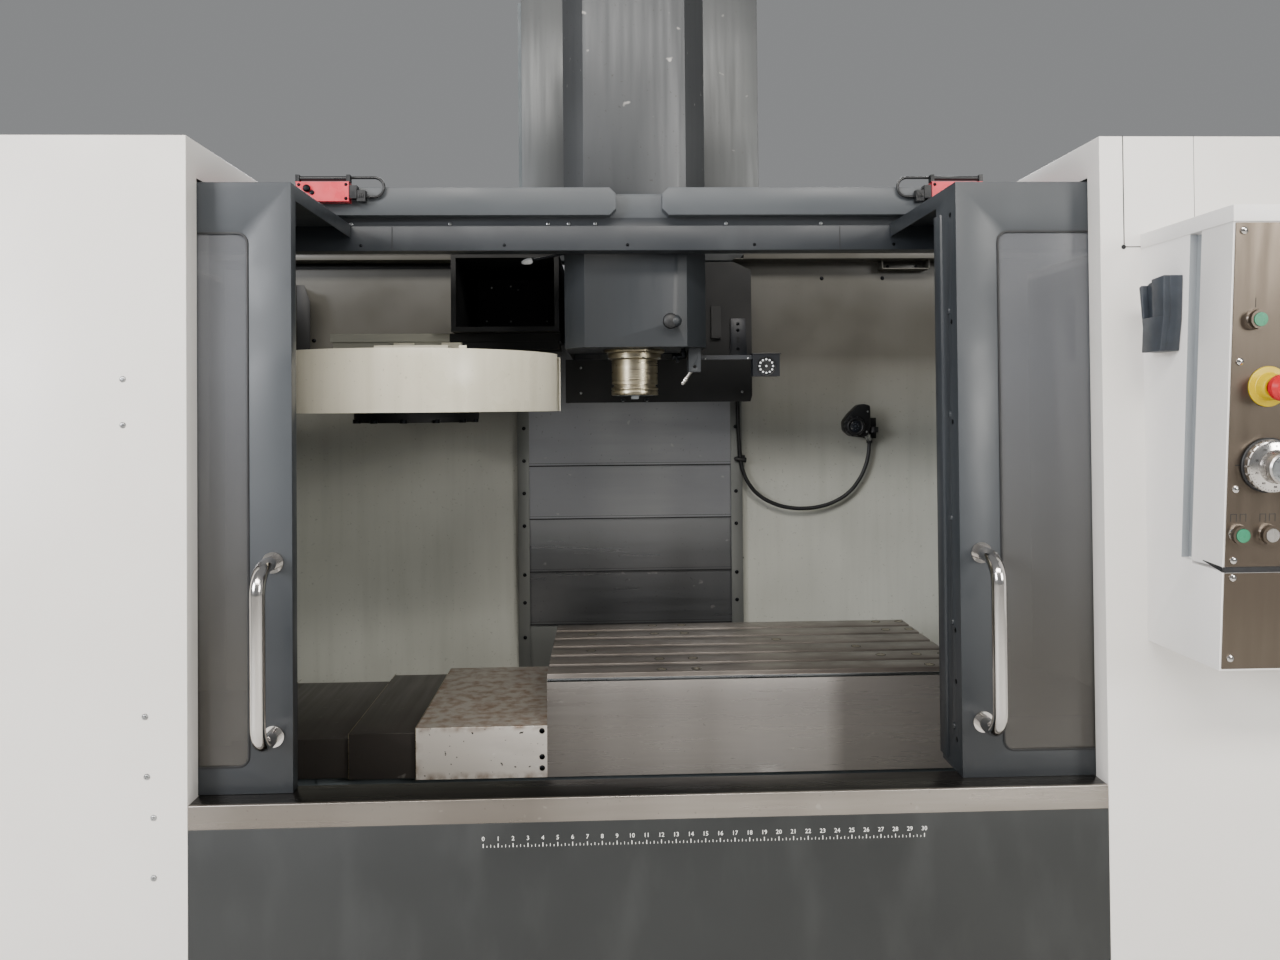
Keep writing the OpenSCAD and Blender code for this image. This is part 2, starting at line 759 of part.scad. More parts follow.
// Places of the controls on the face
stem_r = 9;
stem_in = 6;
button_low = pendant_split + 53 * panel_scale;
button_spots = [[904, pendant_split + 381 * panel_scale], [888, button_low], [934, button_low]];
estop_spot = [927, estop_z];
dial_spot = [930, pendant_split + 159 * panel_scale];
screen_z = [for (h = [247, 487]) pendant_split + h * panel_scale];
key_z = pendant_split + 47 * panel_scale;
key_pitch = 34 * panel_scale;
key_h = 24 * panel_scale;

module control_holes() {
    for (p = concat(button_spots, [estop_spot, dial_spot]))
        on_face(p[0], p[1]) translate([0, 0, -stem_in - button_travel - 2])
            cylinder(h = stem_in + button_travel + 10, r = stem_r + run_gap);
}

module face_plate(z0, z1, x0, x1) {
    side_profile([[face_d(z0), z0], [face_d(z1), z1], [face_d(z1) - face_t, z1],
        [face_d(z0) - face_t, z0]], [x0, x1]);
}

module pendant_panel() {
    edge = 3;
    x0 = pendant_x + edge;
    x1 = pendant_x + pendant_w - edge;
    color("#8a7f76") {
        difference() {
            face_plate(pendant_split + 2, pendant_z1 - 27, x0, x1);
            // Window of the screen and the stems of the controls
            side_profile([[-400, screen_z[0]], [0, screen_z[0]], [0, screen_z[1]],
                [-400, screen_z[1]]],
                [pendant_x + 130, pendant_x + 440]);
            control_holes();
        }
        face_plate(pendant_z0 + 3, pendant_split - 8, x0, x1);
        // Bezels round the push buttons
        for (p = button_spots)
            on_face(p[0], p[1]) translate([0, 0, face_t - 0.2]) difference() {
                cylinder(h = 13, r = bezel_dia / 2);
                translate([0, 0, -1]) cylinder(h = 15, r = bezel_dia / 2 - 4);
            }
        // Key field to the right of the controls
        for (i = [0 : 6])
            for (j = [0 : 4])
                let (z = key_z + j * key_pitch, a = face_d(z) - face_t,
                    b = face_d(z + key_h) - face_t)
                    translate([pendant_x + 150 + i * 42, 0, z])
                        side_profile([[a, 0], [a - 2, 0], [b - 2, key_h], [b, key_h]], [0, 32]);
    }
}

module stem(h) {
    translate([0, 0, -stem_in]) cylinder(h = h + stem_in, r = stem_r);
}

module push_button(spot) {
    on_face(spot[0], spot[1]) {
        stem(face_t + 8.5);
        translate([0, 0, face_t + 8]) cylinder(h = 6, r = bezel_dia / 2 - 4 - slide_gap);
    }
}

module power_on_button() {
    color("#2f7a5c") push_button(button_spots[0]);
}

module cycle_start_button() {
    color("#2f7a5c") push_button(button_spots[1]);
}

module feed_hold_button() {
    color("#b9b4ae") push_button(button_spots[2]);
}

module estop_button() {
    color("#c8202c") on_face(estop_spot[0], estop_spot[1]) {
        stem(face_t + 20.5);
        translate([0, 0, face_t + 20]) rotate_extrude()
            polygon([[0, 0], [14, 0], [20, 8], [20, 16], [15, 23], [8, 26], [0, 26]]);
    }
}

module jog_dial() {
    color("#c9ccd0") on_face(dial_spot[0], dial_spot[1]) {
        stem(face_t + 5);
        translate([0, 0, face_t + 4]) difference() {
            rotate_extrude() polygon([[0, 0], [dial_dia / 2, 0], [dial_dia / 2, 10],
                [dial_dia / 2 - 5, 14], [26, 16], [24, 36], [22, 38], [0, 38]]);
            for (a = [0 : 18 : 342])
                rotate([0, 0, a]) translate([dial_dia / 2, 0, 4]) cylinder(h = 20, r = 1.6);
        }
    }
}

// Moulded holster on the left side of the pendant
module tool_holster() {
    z0 = 1493;
    z1 = 1618;
    wall = 3;
    color("#4f5357") difference() {
        side_profile([[-14, z0], [-8, z0 + 45], [-14, z1 - 6], [-60, z1], [-121, z1],
            [-112, z0 + 40], [-104, z0]], [pendant_x - 34, pendant_x]);
        side_profile([[-22, z0 + 56], [-22, z1 + 10], [-76, z1 + 10], [-76, z0 + 56]],
            [pendant_x - 34 + wall, pendant_x - wall]);
        side_profile([[-30, z0 + 60], [-30, z1 + 10], [-70, z1 + 10], [-70, z0 + 60]],
            [pendant_x - 36, pendant_x - 20]);
    }
}

// Probe receiver on the rear wall with its hose
probe_x = 660;
probe_z = 1362;

module probe_mount() {
    color("#141518") {
        slab([probe_x + 14, probe_x + 64], [rear_d - 6, rear_d], [probe_z - 40, probe_z + 10]);
        difference() {
            union() {
                slab([probe_x + 24, probe_x + 54], [rear_d - 62, rear_d - 6],
                    [probe_z - 32, probe_z - 16]);
                rod_z(probe_x + 39, rear_d - 62, [probe_z - 32, probe_z - 16], 15);
                slab([probe_x + 24, probe_x + 54], [rear_d - 40, rear_d - 6],
                    [probe_z - 50, probe_z - 32]);
            }
            rod_z(probe_x + 39, rear_d - 62, [probe_z - 60, probe_z], 6 + run_gap);
        }
        rod_z(probe_x + 39, rear_d - 22, [probe_z - 64, probe_z - 50], 8);
        // Wall gland and clip of the hose
        rod_z(hose_x, hose_d, [hose_top, hose_top + 21], 8);
        slab([hose_x - 10, hose_x + 10], [hose_d - 8, rear_d], [hose_top + 20, hose_top + 40]);
        slab([hose_x + 13.5, hose_x + 20], [hose_d - 3, plate_d - 4], [1250, 1266]);
        slab([hose_x, hose_x + 20], [hose_d + 4.9, plate_d - 4], [1250, 1266]);
    }
}

hose_x = 306;
hose_gap = 29;
hose_d = rear_d - hose_gap;
hose_top = 1470;
hose_r = 4.8;
// The hose hangs from the gland past the clip and rises into the mount of the receiver
hose_route = [[hose_x, hose_d, hose_top], [hose_x, hose_d, hose_top - 30], [307, hose_d, 1390],
    [308, hose_d, 1340], [310, hose_d, 1300], [313, hose_d, 1258], [322, hose_d, 1215],
    [342, hose_d, 1175], [372, hose_d, 1144], [412, hose_d, 1122], [456, hose_d, 1110],
    [502, hose_d, 1107], [548, hose_d + 1, 1112], [594, hose_d + 2, 1127], [634, hose_d + 3, 1152],
    [664, hose_d + 5, 1186], [684, hose_d + 6, 1224], [695, hose_d + 7, 1262],
    [699, hose_d + 7, 1298]];

module probe_hose() {
    color("#121315") translate([0, front_y, 0]) tube(hose_route, hose_r, 10);
}

module probe_receiver() {
    color("#0f1012") difference() {
        union() {
            rod_z(probe_x + 39, rear_d - 62, [probe_z - 38, probe_z - 12], 6);
            rod_z(probe_x + 39, rear_d - 62, [probe_z - 15.7, probe_z - 8], 13);
            translate([probe_x, y_at(rear_d - 66), probe_z + 12]) rotate([0, 0, 0])
                translate([-46, -26, -20]) cube([92, 46, 62]);
            translate([probe_x - 8, y_at(rear_d - 92), probe_z + 24]) rotate([90, 0, 0])
                cylinder(h = 16, r = 25);
        }
        translate([probe_x - 8, y_at(rear_d - 100), probe_z + 24]) rotate([90, 0, 0])
            cylinder(h = 12, r = 20);
    }
}

// Ball screws
module y_ball_screw() {
    color("#9a9da0") at_axis() rod_y(0, [186, 1199.7], y_screw_z, screw_dia / 2);
}

module z_ball_screw() {
    color("#9a9da0") at_axis() rod_z(0, z_screw_d, [985, screw_top - 0.3], z_screw_dia / 2);
}

module x_ball_screw() {
    color("#9a9da0") at_axis()
        rod_x([-saddle_half_w + 0.3, saddle_half_w - 6], spindle_d, x_screw_z, screw_dia / 2);
}

// Guide block that straddles a rail
module car(l, groove_h) {
    // Stands on the rail side at z = 0, runs along y
    difference() {
        translate([-35, -l / 2, 0]) cube([70, l, 38]);
        translate([-rail_w / 2 - rail_gap, -l / 2 - 1, -1])
            cube([rail_w + 2 * rail_gap, l + 2, groove_h + 1]);
    }
}

car_lift = 6;
car_groove = rail_h - car_lift + rail_gap;

// Saddle: runs on the base rails, carries the table rails and the wings of the covers
module saddle() {
    arm_half = fixed_end;
    color("#565d61") at_axis() difference() {
        union() {
            slab([-saddle_half_w, saddle_half_w],
                [spindle_d - saddle_half_d, spindle_d + saddle_half_d], [575, saddle_z1]);
            plan_profile([for (p = [[-1, -195], [-4 / 7, -225], [4 / 7, -225], [1, -195],
                [1, 195], [4 / 7, 225], [-4 / 7, 225], [-1, 195]])
                [p[0] * saddle_half_w, spindle_d + p[1]]], [saddle_z0, 580]);
            for (x = [-y_rail_x, y_rail_x])
                for (d = [spindle_d - 160, spindle_d + 160])
                    translate([x, y_at(d), base_z1 + car_lift]) car(car_l, car_groove);
            // Arms that hold the end covers on both sides
            for (d = [[450, 500], [780, 830]])
                for (x = [[-arm_half, -saddle_half_w + 1], [saddle_half_w - 1, arm_half]])
                    slab(x, d, [585, 630]);
            for (x = [-arm_half, arm_half - 20])
                slab([x, x + 20], [cover_f(3) + 2, cover_b(3) - 2], [585, 640]);
            // Bracket that carries the nut of the lower screw
            slab([-50, 50], [spindle_d - 50, spindle_d + 50], [335, saddle_z0 + 1]);
        }
        slab([-500, 500], [spindle_d - 50, spindle_d + 50], [588, saddle_z1 + 1]);
        rod_x([-saddle_half_w - 1, saddle_half_w + 1], spindle_d, x_screw_z,
            screw_dia / 2 + run_gap);
        rod_y(0, [spindle_d - 51, spindle_d + 51], y_screw_z, screw_dia / 2 + run_gap);
    }
}

module x_rails() {
    color("#a7abae") at_axis()
        for (d = [spindle_d - x_rail_d, spindle_d + x_rail_d])
            slab([-saddle_half_w + 3, saddle_half_w - 3],
                [d - rail_w / 2, d + rail_w / 2], [saddle_z1, saddle_z1 + rail_h]);
}

module x_axis_motor() {
    color("#2b2d30") at_axis()
        translate([-saddle_half_w, y_at(spindle_d), x_screw_z - 8])
            rotate([0, -90, 0]) servo_motor(190, 96);
}

// Table with its slots, pads and screw nut
module table() {
    z1 = table_z;
    z0 = table_z - table_t;
    pad_x = 260;
    car_top = saddle_z1 + car_lift + 38;
    color("#6a6560") translate([table_x, 0, 0]) difference() {
        union() {
            slab([-table_l / 2, table_l / 2], [table_d - table_w / 2, table_d + table_w / 2],
                [z0, z1]);
            for (x = [-pad_x, pad_x])
                for (d = [table_d - x_rail_d, table_d + x_rail_d]) {
                    slab([x - 60, x + 60], [d - 40, d + 40], [car_top - 1, z0 + 1]);
                    translate([x, y_at(d), saddle_z1 + car_lift]) rotate([0, 0, 90])
                        car(car_l, car_groove);
                }
            slab([-60, 60], [table_d - 38, table_d + 38], [600, z0 + 1]);
        }
        for (k = [-2 : 2]) {
            d = table_d + k * slot_pitch;
            slab([-table_l / 2 - 1, table_l / 2 + 1], [d - slot_w / 2, d + slot_w / 2],
                [z1 - slot_depth, z1 + 1]);
            slab([-table_l / 2 - 1, table_l / 2 + 1],
                [d - slot_foot_w / 2, d + slot_foot_w / 2],
                [z1 - slot_depth, z1 - slot_depth + slot_foot_h]);
        }
        // Pockets between the ribs of the underside
        for (x = [-440, -200, 80, 330])
            slab([x, x + 110], [table_d - 205, table_d - 60], [z0 - 1, z0 + 40]);
        for (x = [-440, -200, 80, 330])
            slab([x, x + 110], [table_d + 60, table_d + 205], [z0 - 1, z0 + 40]);
        translate([-table_x + axis_x, 0, 0])
            rod_x([0, 700], table_d, x_screw_z, screw_dia / 2 + run_gap);
    }
}

// Stainless plate that hangs down in front of the table
module table_apron() {
    d1 = table_d - table_w / 2;
    d0 = d1 - 6;
    color("#9a958f") translate([table_x, 0, 0])
        side_profile([[d0, apron_z0], [d0 + sheet_t, apron_z0], [d0 + sheet_t, table_z - 60],
            [d1, table_z - 60], [d1, table_z - 10], [d0 + 2, table_z - 8],
            [d0, table_z - 10]], [-table_l / 2, table_l / 2]);
}

function cover_f(k) = table_d - 235 + k * cover_step_d;
function cover_b(k) = table_d + 250 - k * cover_step_d;

// One telescoping cover, open below, from its outer end inwards
module x_cover(k, x0, l) {
    top = cover_z - k * cover_step_z;
    f = cover_f(k);
    b = cover_b(k);
    t = 2;
    bevel = 18;
    side_profile([[f, cover_bottom], [f, top], [b - bevel, top], [b, top - bevel],
        [b, cover_bottom], [b - t, cover_bottom], [b - t, top - bevel - t],
        [b - bevel - t, top - t], [f + t, top - t], [f + t, cover_bottom]], [x0, x0 + l]);
    // Wiper lip at the outer end, just clear of the next cover
    lip_d = f + cover_step_d + 6;
    lip_z = top - cover_step_z + slide_gap;
    if (k < 3)
        side_profile([[f, top - t], [lip_d, top - t], [lip_d, lip_z], [f, lip_z]],
            [x0, x0 + 4]);
}

inner_left = table_shift - table_l / 2 - cover_l1;
middle_left = -625;
outer_left = -874;

module cover_left(k, x0, l) {
    at_axis() x_cover(k, x0, l);
}

// The right hand cover is the mirror image of a cover at its own place
module cover_right(k, x1, l) {
    translate([axis_x, 0, 0]) mirror([1, 0, 0]) x_cover(k, -x1, l);
}

module x_cover_inner() {
    color("#8f8a84") {
        cover_left(0, inner_left, cover_l1);
        cover_right(0, table_shift + table_l / 2 + cover_l1, cover_l1);
        // Bolting strips under both ends of the table
        for (x = [[table_shift - table_l / 2 - 2, table_shift - table_l / 2 + 30],
            [table_shift + table_l / 2 - 30, table_shift + table_l / 2 + 2]])
            at_axis() slab(x, [table_d - 200, table_d + 200], [cover_z - 2, table_z - table_t]);
    }
}

// Offsets that keep the right covers in step with the left ones
middle_right = -(middle_left - 2 * middle_ratio * table_shift);
outer_right = -(outer_left - 2 * outer_ratio * table_shift);

module x_cover_middle() {
    color("#4a4846") {
        cover_left(1, middle_left, cover_l2);
        cover_right(1, middle_right, cover_l2);
    }
}

module x_cover_outer() {
    color("#3a3836") {
        cover_left(2, outer_left, cover_l3);
        cover_right(2, outer_right, cover_l3);
    }
}

module x_cover_ends() {
    color("#3a3836") {
        cover_left(3, -fixed_end, cover_l4);
        cover_right(3, fixed_end, cover_l4);
    }
}

head_casting_z0 = head_z0 + 30;
head_bore_top = head_casting_z0 + 460;

// Head casting: back plate with guide blocks, web box and the boss of the spindle
module head_casting() {
    z0 = head_casting_z0;
    z1 = head_bore_top + 100;
    color("#6a7175") at_axis() difference() {
        union() {
            slab([-270, 270], [head_back_d - 22, head_back_d], [z0, z1]);
            for (x = [-z_rail_x, z_rail_x])
                for (z = [z0 + 70, z1 - 70])
                    translate([x, y_at(z_rail_d + rail_h - car_lift), z]) rotate([90, 0, 0])
                        car(car_l, car_groove);
            plan_profile([[-150, head_back_d - 10], [-150, 860], [-110, spindle_d],
                [110, spindle_d], [150, 860], [150, head_back_d - 10]], [z0, z1 - 100]);
            rod_z(0, spindle_d, [z0 - 20, z1 - 100], 110);
            slab([-50, 50], [head_back_d - 1, z_screw_d + 42], [1820, 1920]);
        }
        slab([-110, 110], [880, head_back_d - 60], [z0 + 60, z1 - 99]);
        rod_z(0, spindle_d, [z0 - 21, z1 - 99], nose_dia / 2 + run_gap);
        rod_z(0, z_screw_d, [1810, 1930], z_screw_dia / 2 + run_gap);
    }
}

// Tall chamfered sheet cover round the head
module head_front_cover() {
    t = 2.5;
    h = head_w / 2;
    f = head_flat_w / 2;
    back = head_back_d - 45;
    module ring(inset) {
        polygon([[-h + inset, back + inset], [-h + inset, head_d + head_chamfer + inset / 2],
            [-f + inset / 2, head_d + inset], [f - inset / 2, head_d + inset],
            [h - inset, head_d + head_chamfer + inset / 2], [h - inset, back + inset]]);
    }
    color("#5b6063") at_axis() translate([0, front_y, 0]) {
        difference() {
            translate([0, 0, head_z0]) linear_extrude(head_z1 - head_z0) ring(0);
            translate([0, 0, head_z0 - 1]) linear_extrude(head_z1 - head_z0 + 1 - t) ring(t);
        }
        // Underside tray with the opening of the spindle nose
        translate([0, 0, head_z0]) linear_extrude(t) difference() {
            polygon([[-h + t, 760], [-h + t, head_d + head_chamfer + t / 2],
                [-f + t / 2, head_d + t], [f - t / 2, head_d + t],
                [h - t, head_d + head_chamfer + t / 2], [h - t, 760]]);
            translate([0, spindle_d]) circle(r = 78);
        }
    }
    color("#101214") head_bracket();
    color("#101214") translate([77, y_at(head_d), 1602]) {
        rotate([90, 0, 0]) cylinder(h = 12, r = 6);
        translate([0, -20, 0]) sphere(r = 14);
    }
}

// Black guard behind the spindle, taller on its right side
guard_z = 1423;
guard_back = plate_d - 21;
guard_front = guard_back - 132;

module head_lower_cover() {
    color("#15171a") at_axis() {
        difference() {
            front_profile([[-181, guard_z], [334, guard_z], [339, guard_z + 17],
                [339, guard_z + 367], [290, guard_z + 391], [176, guard_z + 391],
                [176, guard_z + 120], [-181, guard_z + 120]], [guard_front, guard_back]);
            front_profile([[-173, guard_z - 23], [331, guard_z - 23], [331, guard_z + 364],
                [287, guard_z + 383], [184, guard_z + 383], [184, guard_z + 112],
                [-173, guard_z + 112]], [guard_front + 4, guard_back + 1]);
        }
        // Posts to the first cover plate
        for (x = [-120, 120])
            rod_y(x, [guard_front + 3, plate_d], guard_z + 67, 12);
        side_profile([[-15, 1600], [0, 1600], [0, 1690], [-8, 1690]] + [for (i = [0 : 3]) [guard_front, 0]],
            [225, 252]);
    }
}

// Spindle parts
module spindle_cartridge() {
    r = nose_dia / 2;
    top = head_bore_top;
    color("#b4b1ab") at_axis() translate([0, y_at(spindle_d), 0]) difference() {
        rotate_extrude() polygon([[0, nose_z + 8], [r - 8, nose_z + 8], [r - 3, nose_z + 12],
            [r - 3, nose_z + 22], [r - 5, nose_z + 23], [r - 5, nose_z + 26],
            [r, nose_z + 27], [r, nose_z + 85], [r + 9, nose_z + 88], [r + 9, nose_z + 118],
            [r, nose_z + 119], [r, top], [0, top]]);
        translate([0, 0, nose_z]) cylinder(h = top, r = spindle_dia / 2 + run_gap);
    }
}

module spindle() {
    r = spindle_dia / 2;
    color("#c4c2bd") at_axis() translate([0, y_at(spindle_d), 0]) {
        difference() {
            rotate_extrude() polygon([[0, nose_z], [r + 6, nose_z], [r + 6, nose_z + 7],
                [r, nose_z + 7.7], [r, head_bore_top + 20], [26, head_bore_top + 20],
                [26, head_bore_top + 50], [0, head_bore_top + 50]]);
            translate([0, 0, nose_z - 1]) cylinder(h = 401, r = 8.5);
            translate([0, 0, nose_z - 0.01])
                cylinder(h = taper_l, r1 = taper_dia / 2, r2 = taper_dia / 2 - taper_l * 7 / 48);
        }
        for (side = [-1, 1])
            translate([-8, side * 33 - 8, nose_z - 8]) cube([16, 16, 9]);
    }
}

module spindle_motor() {
    color("#24272a") at_axis() translate([0, y_at(spindle_d), head_bore_top]) difference() {
        union() {
            translate([-95, -95, 0]) cube([190, 190, 16]);
            translate([0, 0, 16]) cylinder(h = 60, r = 80);
            translate([-95, -95, 76]) cube([190, 190, 250]);
            translate([0, 0, 326]) cylinder(h = 60, r = 85);
        }
        translate([0, 0, -1]) cylinder(h = 60, r = spindle_dia / 2 + run_gap);
    }
}

// Coolant nozzle on its block and the lamp on its arm, both at the right of the nose
nozzle_at = [137, 575, 1502];
lamp_pivot = [139, 612, 1526];

module coolant_nozzle() {
    p = nozzle_at;
    color("#a8a6a0") translate([axis_x + p[0], y_at(p[1]), p[2]]) {
        rotate([90, 0, 0]) translate([0, 0, -8]) cylinder(h = 16, r = 9);
        rotate([90, 0, 0]) translate([0, 0, -22]) cylinder(h = 44, r = 4);
        rotate([0, 35, 0]) {
            translate([0, 0, -46]) cylinder(h = 42, r = 4);
            translate([0, 0, -50]) cylinder(h = 6, r1 = 2.5, r2 = 5);
        }
    }
}

module lamp_arm() {
    p = lamp_pivot;
    color("#141619") translate([axis_x + p[0], y_at(p[1]), p[2]]) {
        difference() {
            union() {
                translate([0, 0, -7]) cylinder(h = 14, r = 12);
                translate([0, -6, -5]) cube([150, 12, 10]);
            }
            translate([0, 0, -8]) cylinder(h = 16, r = 4 + run_gap);
        }
        translate([140, -16, -46]) difference() {
            cube([64, 32, 54]);
            translate([32, -1, 24]) rotate([-90, 0, 0]) cylinder(h = 4, r = 22);
        }
        for (a = [0 : 30 : 330])
            translate([172 + 16 * cos(a), -16, -22 + 16 * sin(a)]) rotate([-90, 0, 0])
                cylinder(h = 4, r = 2.2);
    }
}

// Bracket of nozzle and lamp hangs under the head cover, as part of the head casting cover
module head_bracket() {
    n = nozzle_at;
    l = lamp_pivot;
    translate([axis_x, 0, 0]) {
        difference() {
            slab([n[0] - 14, n[0] + 14], [n[1] - 22, n[1] + 22], [n[2] - 12, head_z0]);
            rod_y(n[0], [n[1] - 8.3, n[1] + 8.3], n[2], 60);
            rod_y(n[0], [n[1] - 23, n[1] + 23], n[2], 4 + run_gap);
        }
        slab([n[0] - 14, n[0] + 14], [n[1] - 22, n[1] + 22], [head_z0 - 3, head_z0]);
        rod_z(l[0], l[1], [l[2] - 9, head_z0], 4);
    }
}

// Tool changer
changer_x = axis_x - carousel_x;
rail_d1 = 800;
rail_d2 = 930;
changer_rail_z = 1560;

module changer_housing() {
    right = -195;
    color("#22262b") {
        difference() {
            slab([-462, right], [720, plate_d - 13], [1600, 1795]);
            slab([-450, right - 12], [719, plate_d - 25], [1612, 1783]);
        }
        slab([-775, right], [780, 950], [changer_rail_z + 20, 1600]);
        for (d = [rail_d1, rail_d2])
            slab([-770, right - 5], [d - 12, d + 12], [changer_rail_z, changer_rail_z + 20]);
        // Beam through the rear wall to the side of the column
        slab([-455, -345], [plate_d - 14, 1480], [1600, 1780]);
        slab([-346, axis_x - column_half], [1300, 1480], [1600, 1780]);
    }
}

module changer_shuttle() {
    color("#4b5054") translate([changer_x, 0, 0]) {
        difference() {
            slab([-85, 85], [spindle_d - 70, 975], [1537, 1557]);
            rod_z(0, spindle_d, [1530, 1560], shaft_r - 10);
        }
        for (d = [rail_d1, rail_d2])
            for (x = [-60, 60])
                difference() {
                    slab([x - 25, x + 25], [d - 26, d + 26], [1556, 1577]);
                    slab([x - 26, x + 26], [d - 12 - rail_gap, d + 12 + rail_gap],
                        [changer_rail_z - rail_gap, 1580]);
                }
        rod_z(0, spindle_d, [1394, 1538], shaft_r);
        rod_z(0, spindle_d, [1440, 1538], 62);
        rod_z(-110, spindle_d, [1430, 1532], 42);
        slab([-110, 0], [spindle_d - 30, spindle_d + 30], [1470, 1520]);
        // Arms that carry the cover
        intersection() {
            for (a = [115, 180, 245])
                translate([0, y_at(spindle_d), 0]) rotate([0, 0, a])
                    translate([55, -10, 1520]) cube([changer_r - 55, 20, 8]);
            translate([0, y_at(spindle_d), 1519])
                cylinder(h = 10, r = changer_r - band_wall, $fn = 96);
        }
    }
}

disc_z = 1404;

module changer_carousel() {
    pocket_r = 290;
    pocket_half = 22;
    color("#24272b") translate([changer_x, y_at(spindle_d), 0]) difference() {
        union() {
            translate([0, 0, disc_z]) cylinder(h = 14, r = disc_r, $fn = 96);
            translate([0, 0, disc_z - 20]) cylinder(h = 21, r = 145);
            translate([0, 0, disc_z - 26]) cylinder(h = 7, r = 135);
            translate([0, 0, disc_z]) cylinder(h = 30, r = 60);
        }
        translate([0, 0, disc_z - 12]) cylinder(h = 60, r = shaft_r + run_gap);
        for (k = [0 : pockets - 1])
            rotate([0, 0, k * 360 / pockets]) {
                translate([pocket_r - pocket_half, -pocket_half, disc_z - 4])
                    cube([60, 2 * pocket_half, 24]);
            }
    }
}

// Cream band round the carousel, open below, with a mouth for the spindle nose
module changer_cover() {
    wall = band_wall;
    color("#d2cebe") translate([changer_x, y_at(spindle_d), 0]) difference() {
        union() {
            translate([0, 0, changer_z0]) difference() {
                cylinder(h = changer_z1 - changer_z0, r = changer_r, $fn = 96);
                translate([0, 0, -1])
                    cylinder(h = changer_z1 - changer_z0 + 2, r = changer_r - wall, $fn = 96);
            }
            translate([0, 0, changer_z1 - 2]) difference() {
                cylinder(h = 2, r = changer_r - 1, $fn = 96);
                translate([0, 0, -1]) cylinder(h = 4, r = changer_r - 33, $fn = 96);
            }
        }
        translate([200, -mouth_half, changer_z0 - 1])
            cube([200, 2 * mouth_half, changer_z1 - changer_z0 + 3]);
    }
}

// Doors, drawn with their inner edge at x = 0 and reaching to the left
module door_sheet(return_d) {
    z0 = sill_z + slide_gap;
    z1 = door_top;
    d = door_d;
    t = sheet_t;
    difference() {
        slab([-door_w, 0], [d, d + t], [z0, z1]);
        front_profile(window_outline(0), [d - 1, d + t + 1]);
    }
    slab([-t, 0], [d, d + return_d], [z0, z1]);
    slab([-door_w, -door_w + t], [d, d + fold_w], [z0, z1]);
    slab([-door_w, 0], [d, d + fold_w], [z0, z0 + t]);
    slab([-door_w, 0], [d, header_d + 26], [z1 - t, z1]);
    for (x = [-t, -door_w])
        slab([x, x + t], [d, header_d - 4], [z1 - t - fold_w, z1]);
}

function window_outline(grow) =
    let (x1 = -window_margin + grow, x0 = -window_margin - window_w - grow,
        z0 = window_z0 - grow, z1 = window_z1 + grow, r = window_r)
    [for (c = [[x1 - r, z1 - r, 0], [x0 + r, z1 - r, 90], [x0 + r, z0 + r, 180],
        [x1 - r, z0 + r, 270]])
        for (a = [0 : 15 : 90]) [c[0] + r * cos(c[2] + a), c[1] + r * sin(c[2] + a)]];

module pane() {
    front_profile(window_outline(18), [door_d + sheet_t, door_d + sheet_t + pane_t]);
}

module handle() {
    r = handle_dia / 2;
    b = handle_bend;
    d = door_d - handle_reach;
    z0 = handle_z;
    z1 = handle_z + handle_span;
    rod_z(0, d, [z0 + b, z1 - b], r);
    for (z = [z0, z1]) {
        rod_y(0, [d + b, door_d], z, r);
        rod_y(0, [door_d - 4, door_d], z, r + 6);
        up = z == z0 ? 1 : -1;
        translate([0, y_at(d + b), z + up * b]) rotate([0, 90, 0])
            rotate([0, 0, up > 0 ? 270 : 180]) rotate_extrude(angle = 90)
            translate([b, 0]) circle(r = r);
    }
}

module at_left_door() {
    translate([-left_open, 0, 0]) children();
}

module at_right_door() {
    translate([right_open, 0, 0]) mirror([1, 0, 0]) children();
}

module left_door() {
    color("#5f6467") at_left_door() door_sheet(fold_w);
}

module left_window() {
    color([0.35, 0.37, 0.38, 0.5]) at_left_door() pane();
}

module left_handle() {
    color("#b7b4b0") at_left_door() translate([-33, 0, 0]) handle();
}

module right_door() {
    color("#5f6467") at_right_door() {
        door_sheet(right_return);
        // Seal strip along the inner return, held by screws
        slab([0, 4], [door_d + right_return - 30, door_d + right_return + 3],
            [sill_z + 12, door_top - fold_w - 20]);
        for (z = [sill_z + 80 : 190 : door_top - 100])
            rod_x([0, 3], door_d + 40, z, 6);
    }
}

module right_window() {
    color([0.35, 0.37, 0.38, 0.5]) at_right_door() pane();
}

module right_handle() {
    color("#b7b4b0") at_right_door() translate([-38, 0, 0]) handle();
}

base_casting();
leveling_feet();
column_casting();
linear_rails();
axis_motors();
left_enclosure();
right_enclosure();
front_apron();
front_sill();
interior_liner();
chip_pan();
header_beam();
interlock_switches();
z_cover_frame();
control_cabinet();
changer_housing();
pendant_housing();
pendant_panel();
tool_holster();
probe_mount();
probe_hose();
probe_receiver();
power_on_button();
estop_button();
cycle_start_button();
feed_hold_button();
jog_dial();
y_ball_screw();
z_ball_screw();
saddle();
x_rails();
x_axis_motor();
x_cover_ends();
x_ball_screw();
table();
table_apron();
x_cover_inner();
x_cover_middle();
x_cover_outer();
head_casting();
head_front_cover();
head_lower_cover();
z_cover_plate_1();
z_cover_plate_2();
z_cover_plate_3();
z_cover_plate_4();
spindle_cartridge();
spindle_motor();
spindle();
coolant_nozzle();
lamp_arm();
changer_shuttle();
changer_carousel();
changer_cover();
left_door();
left_window();
left_handle();
right_door();
right_window();
right_handle();
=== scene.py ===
# %% [markdown]
# # A vertical machining centre with its doors open
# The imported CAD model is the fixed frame, in metres, and stays where it is.
# This lesson dresses it: each real part gets a finish made of shader nodes, and the small pieces
# that make it believable are modelled with Blender's own operators.
# Places are given in mm: x sideways, d depth behind the white front panels, z height.

# %% Load the frame
import bpy
import math
from mathutils import Matrix, Vector


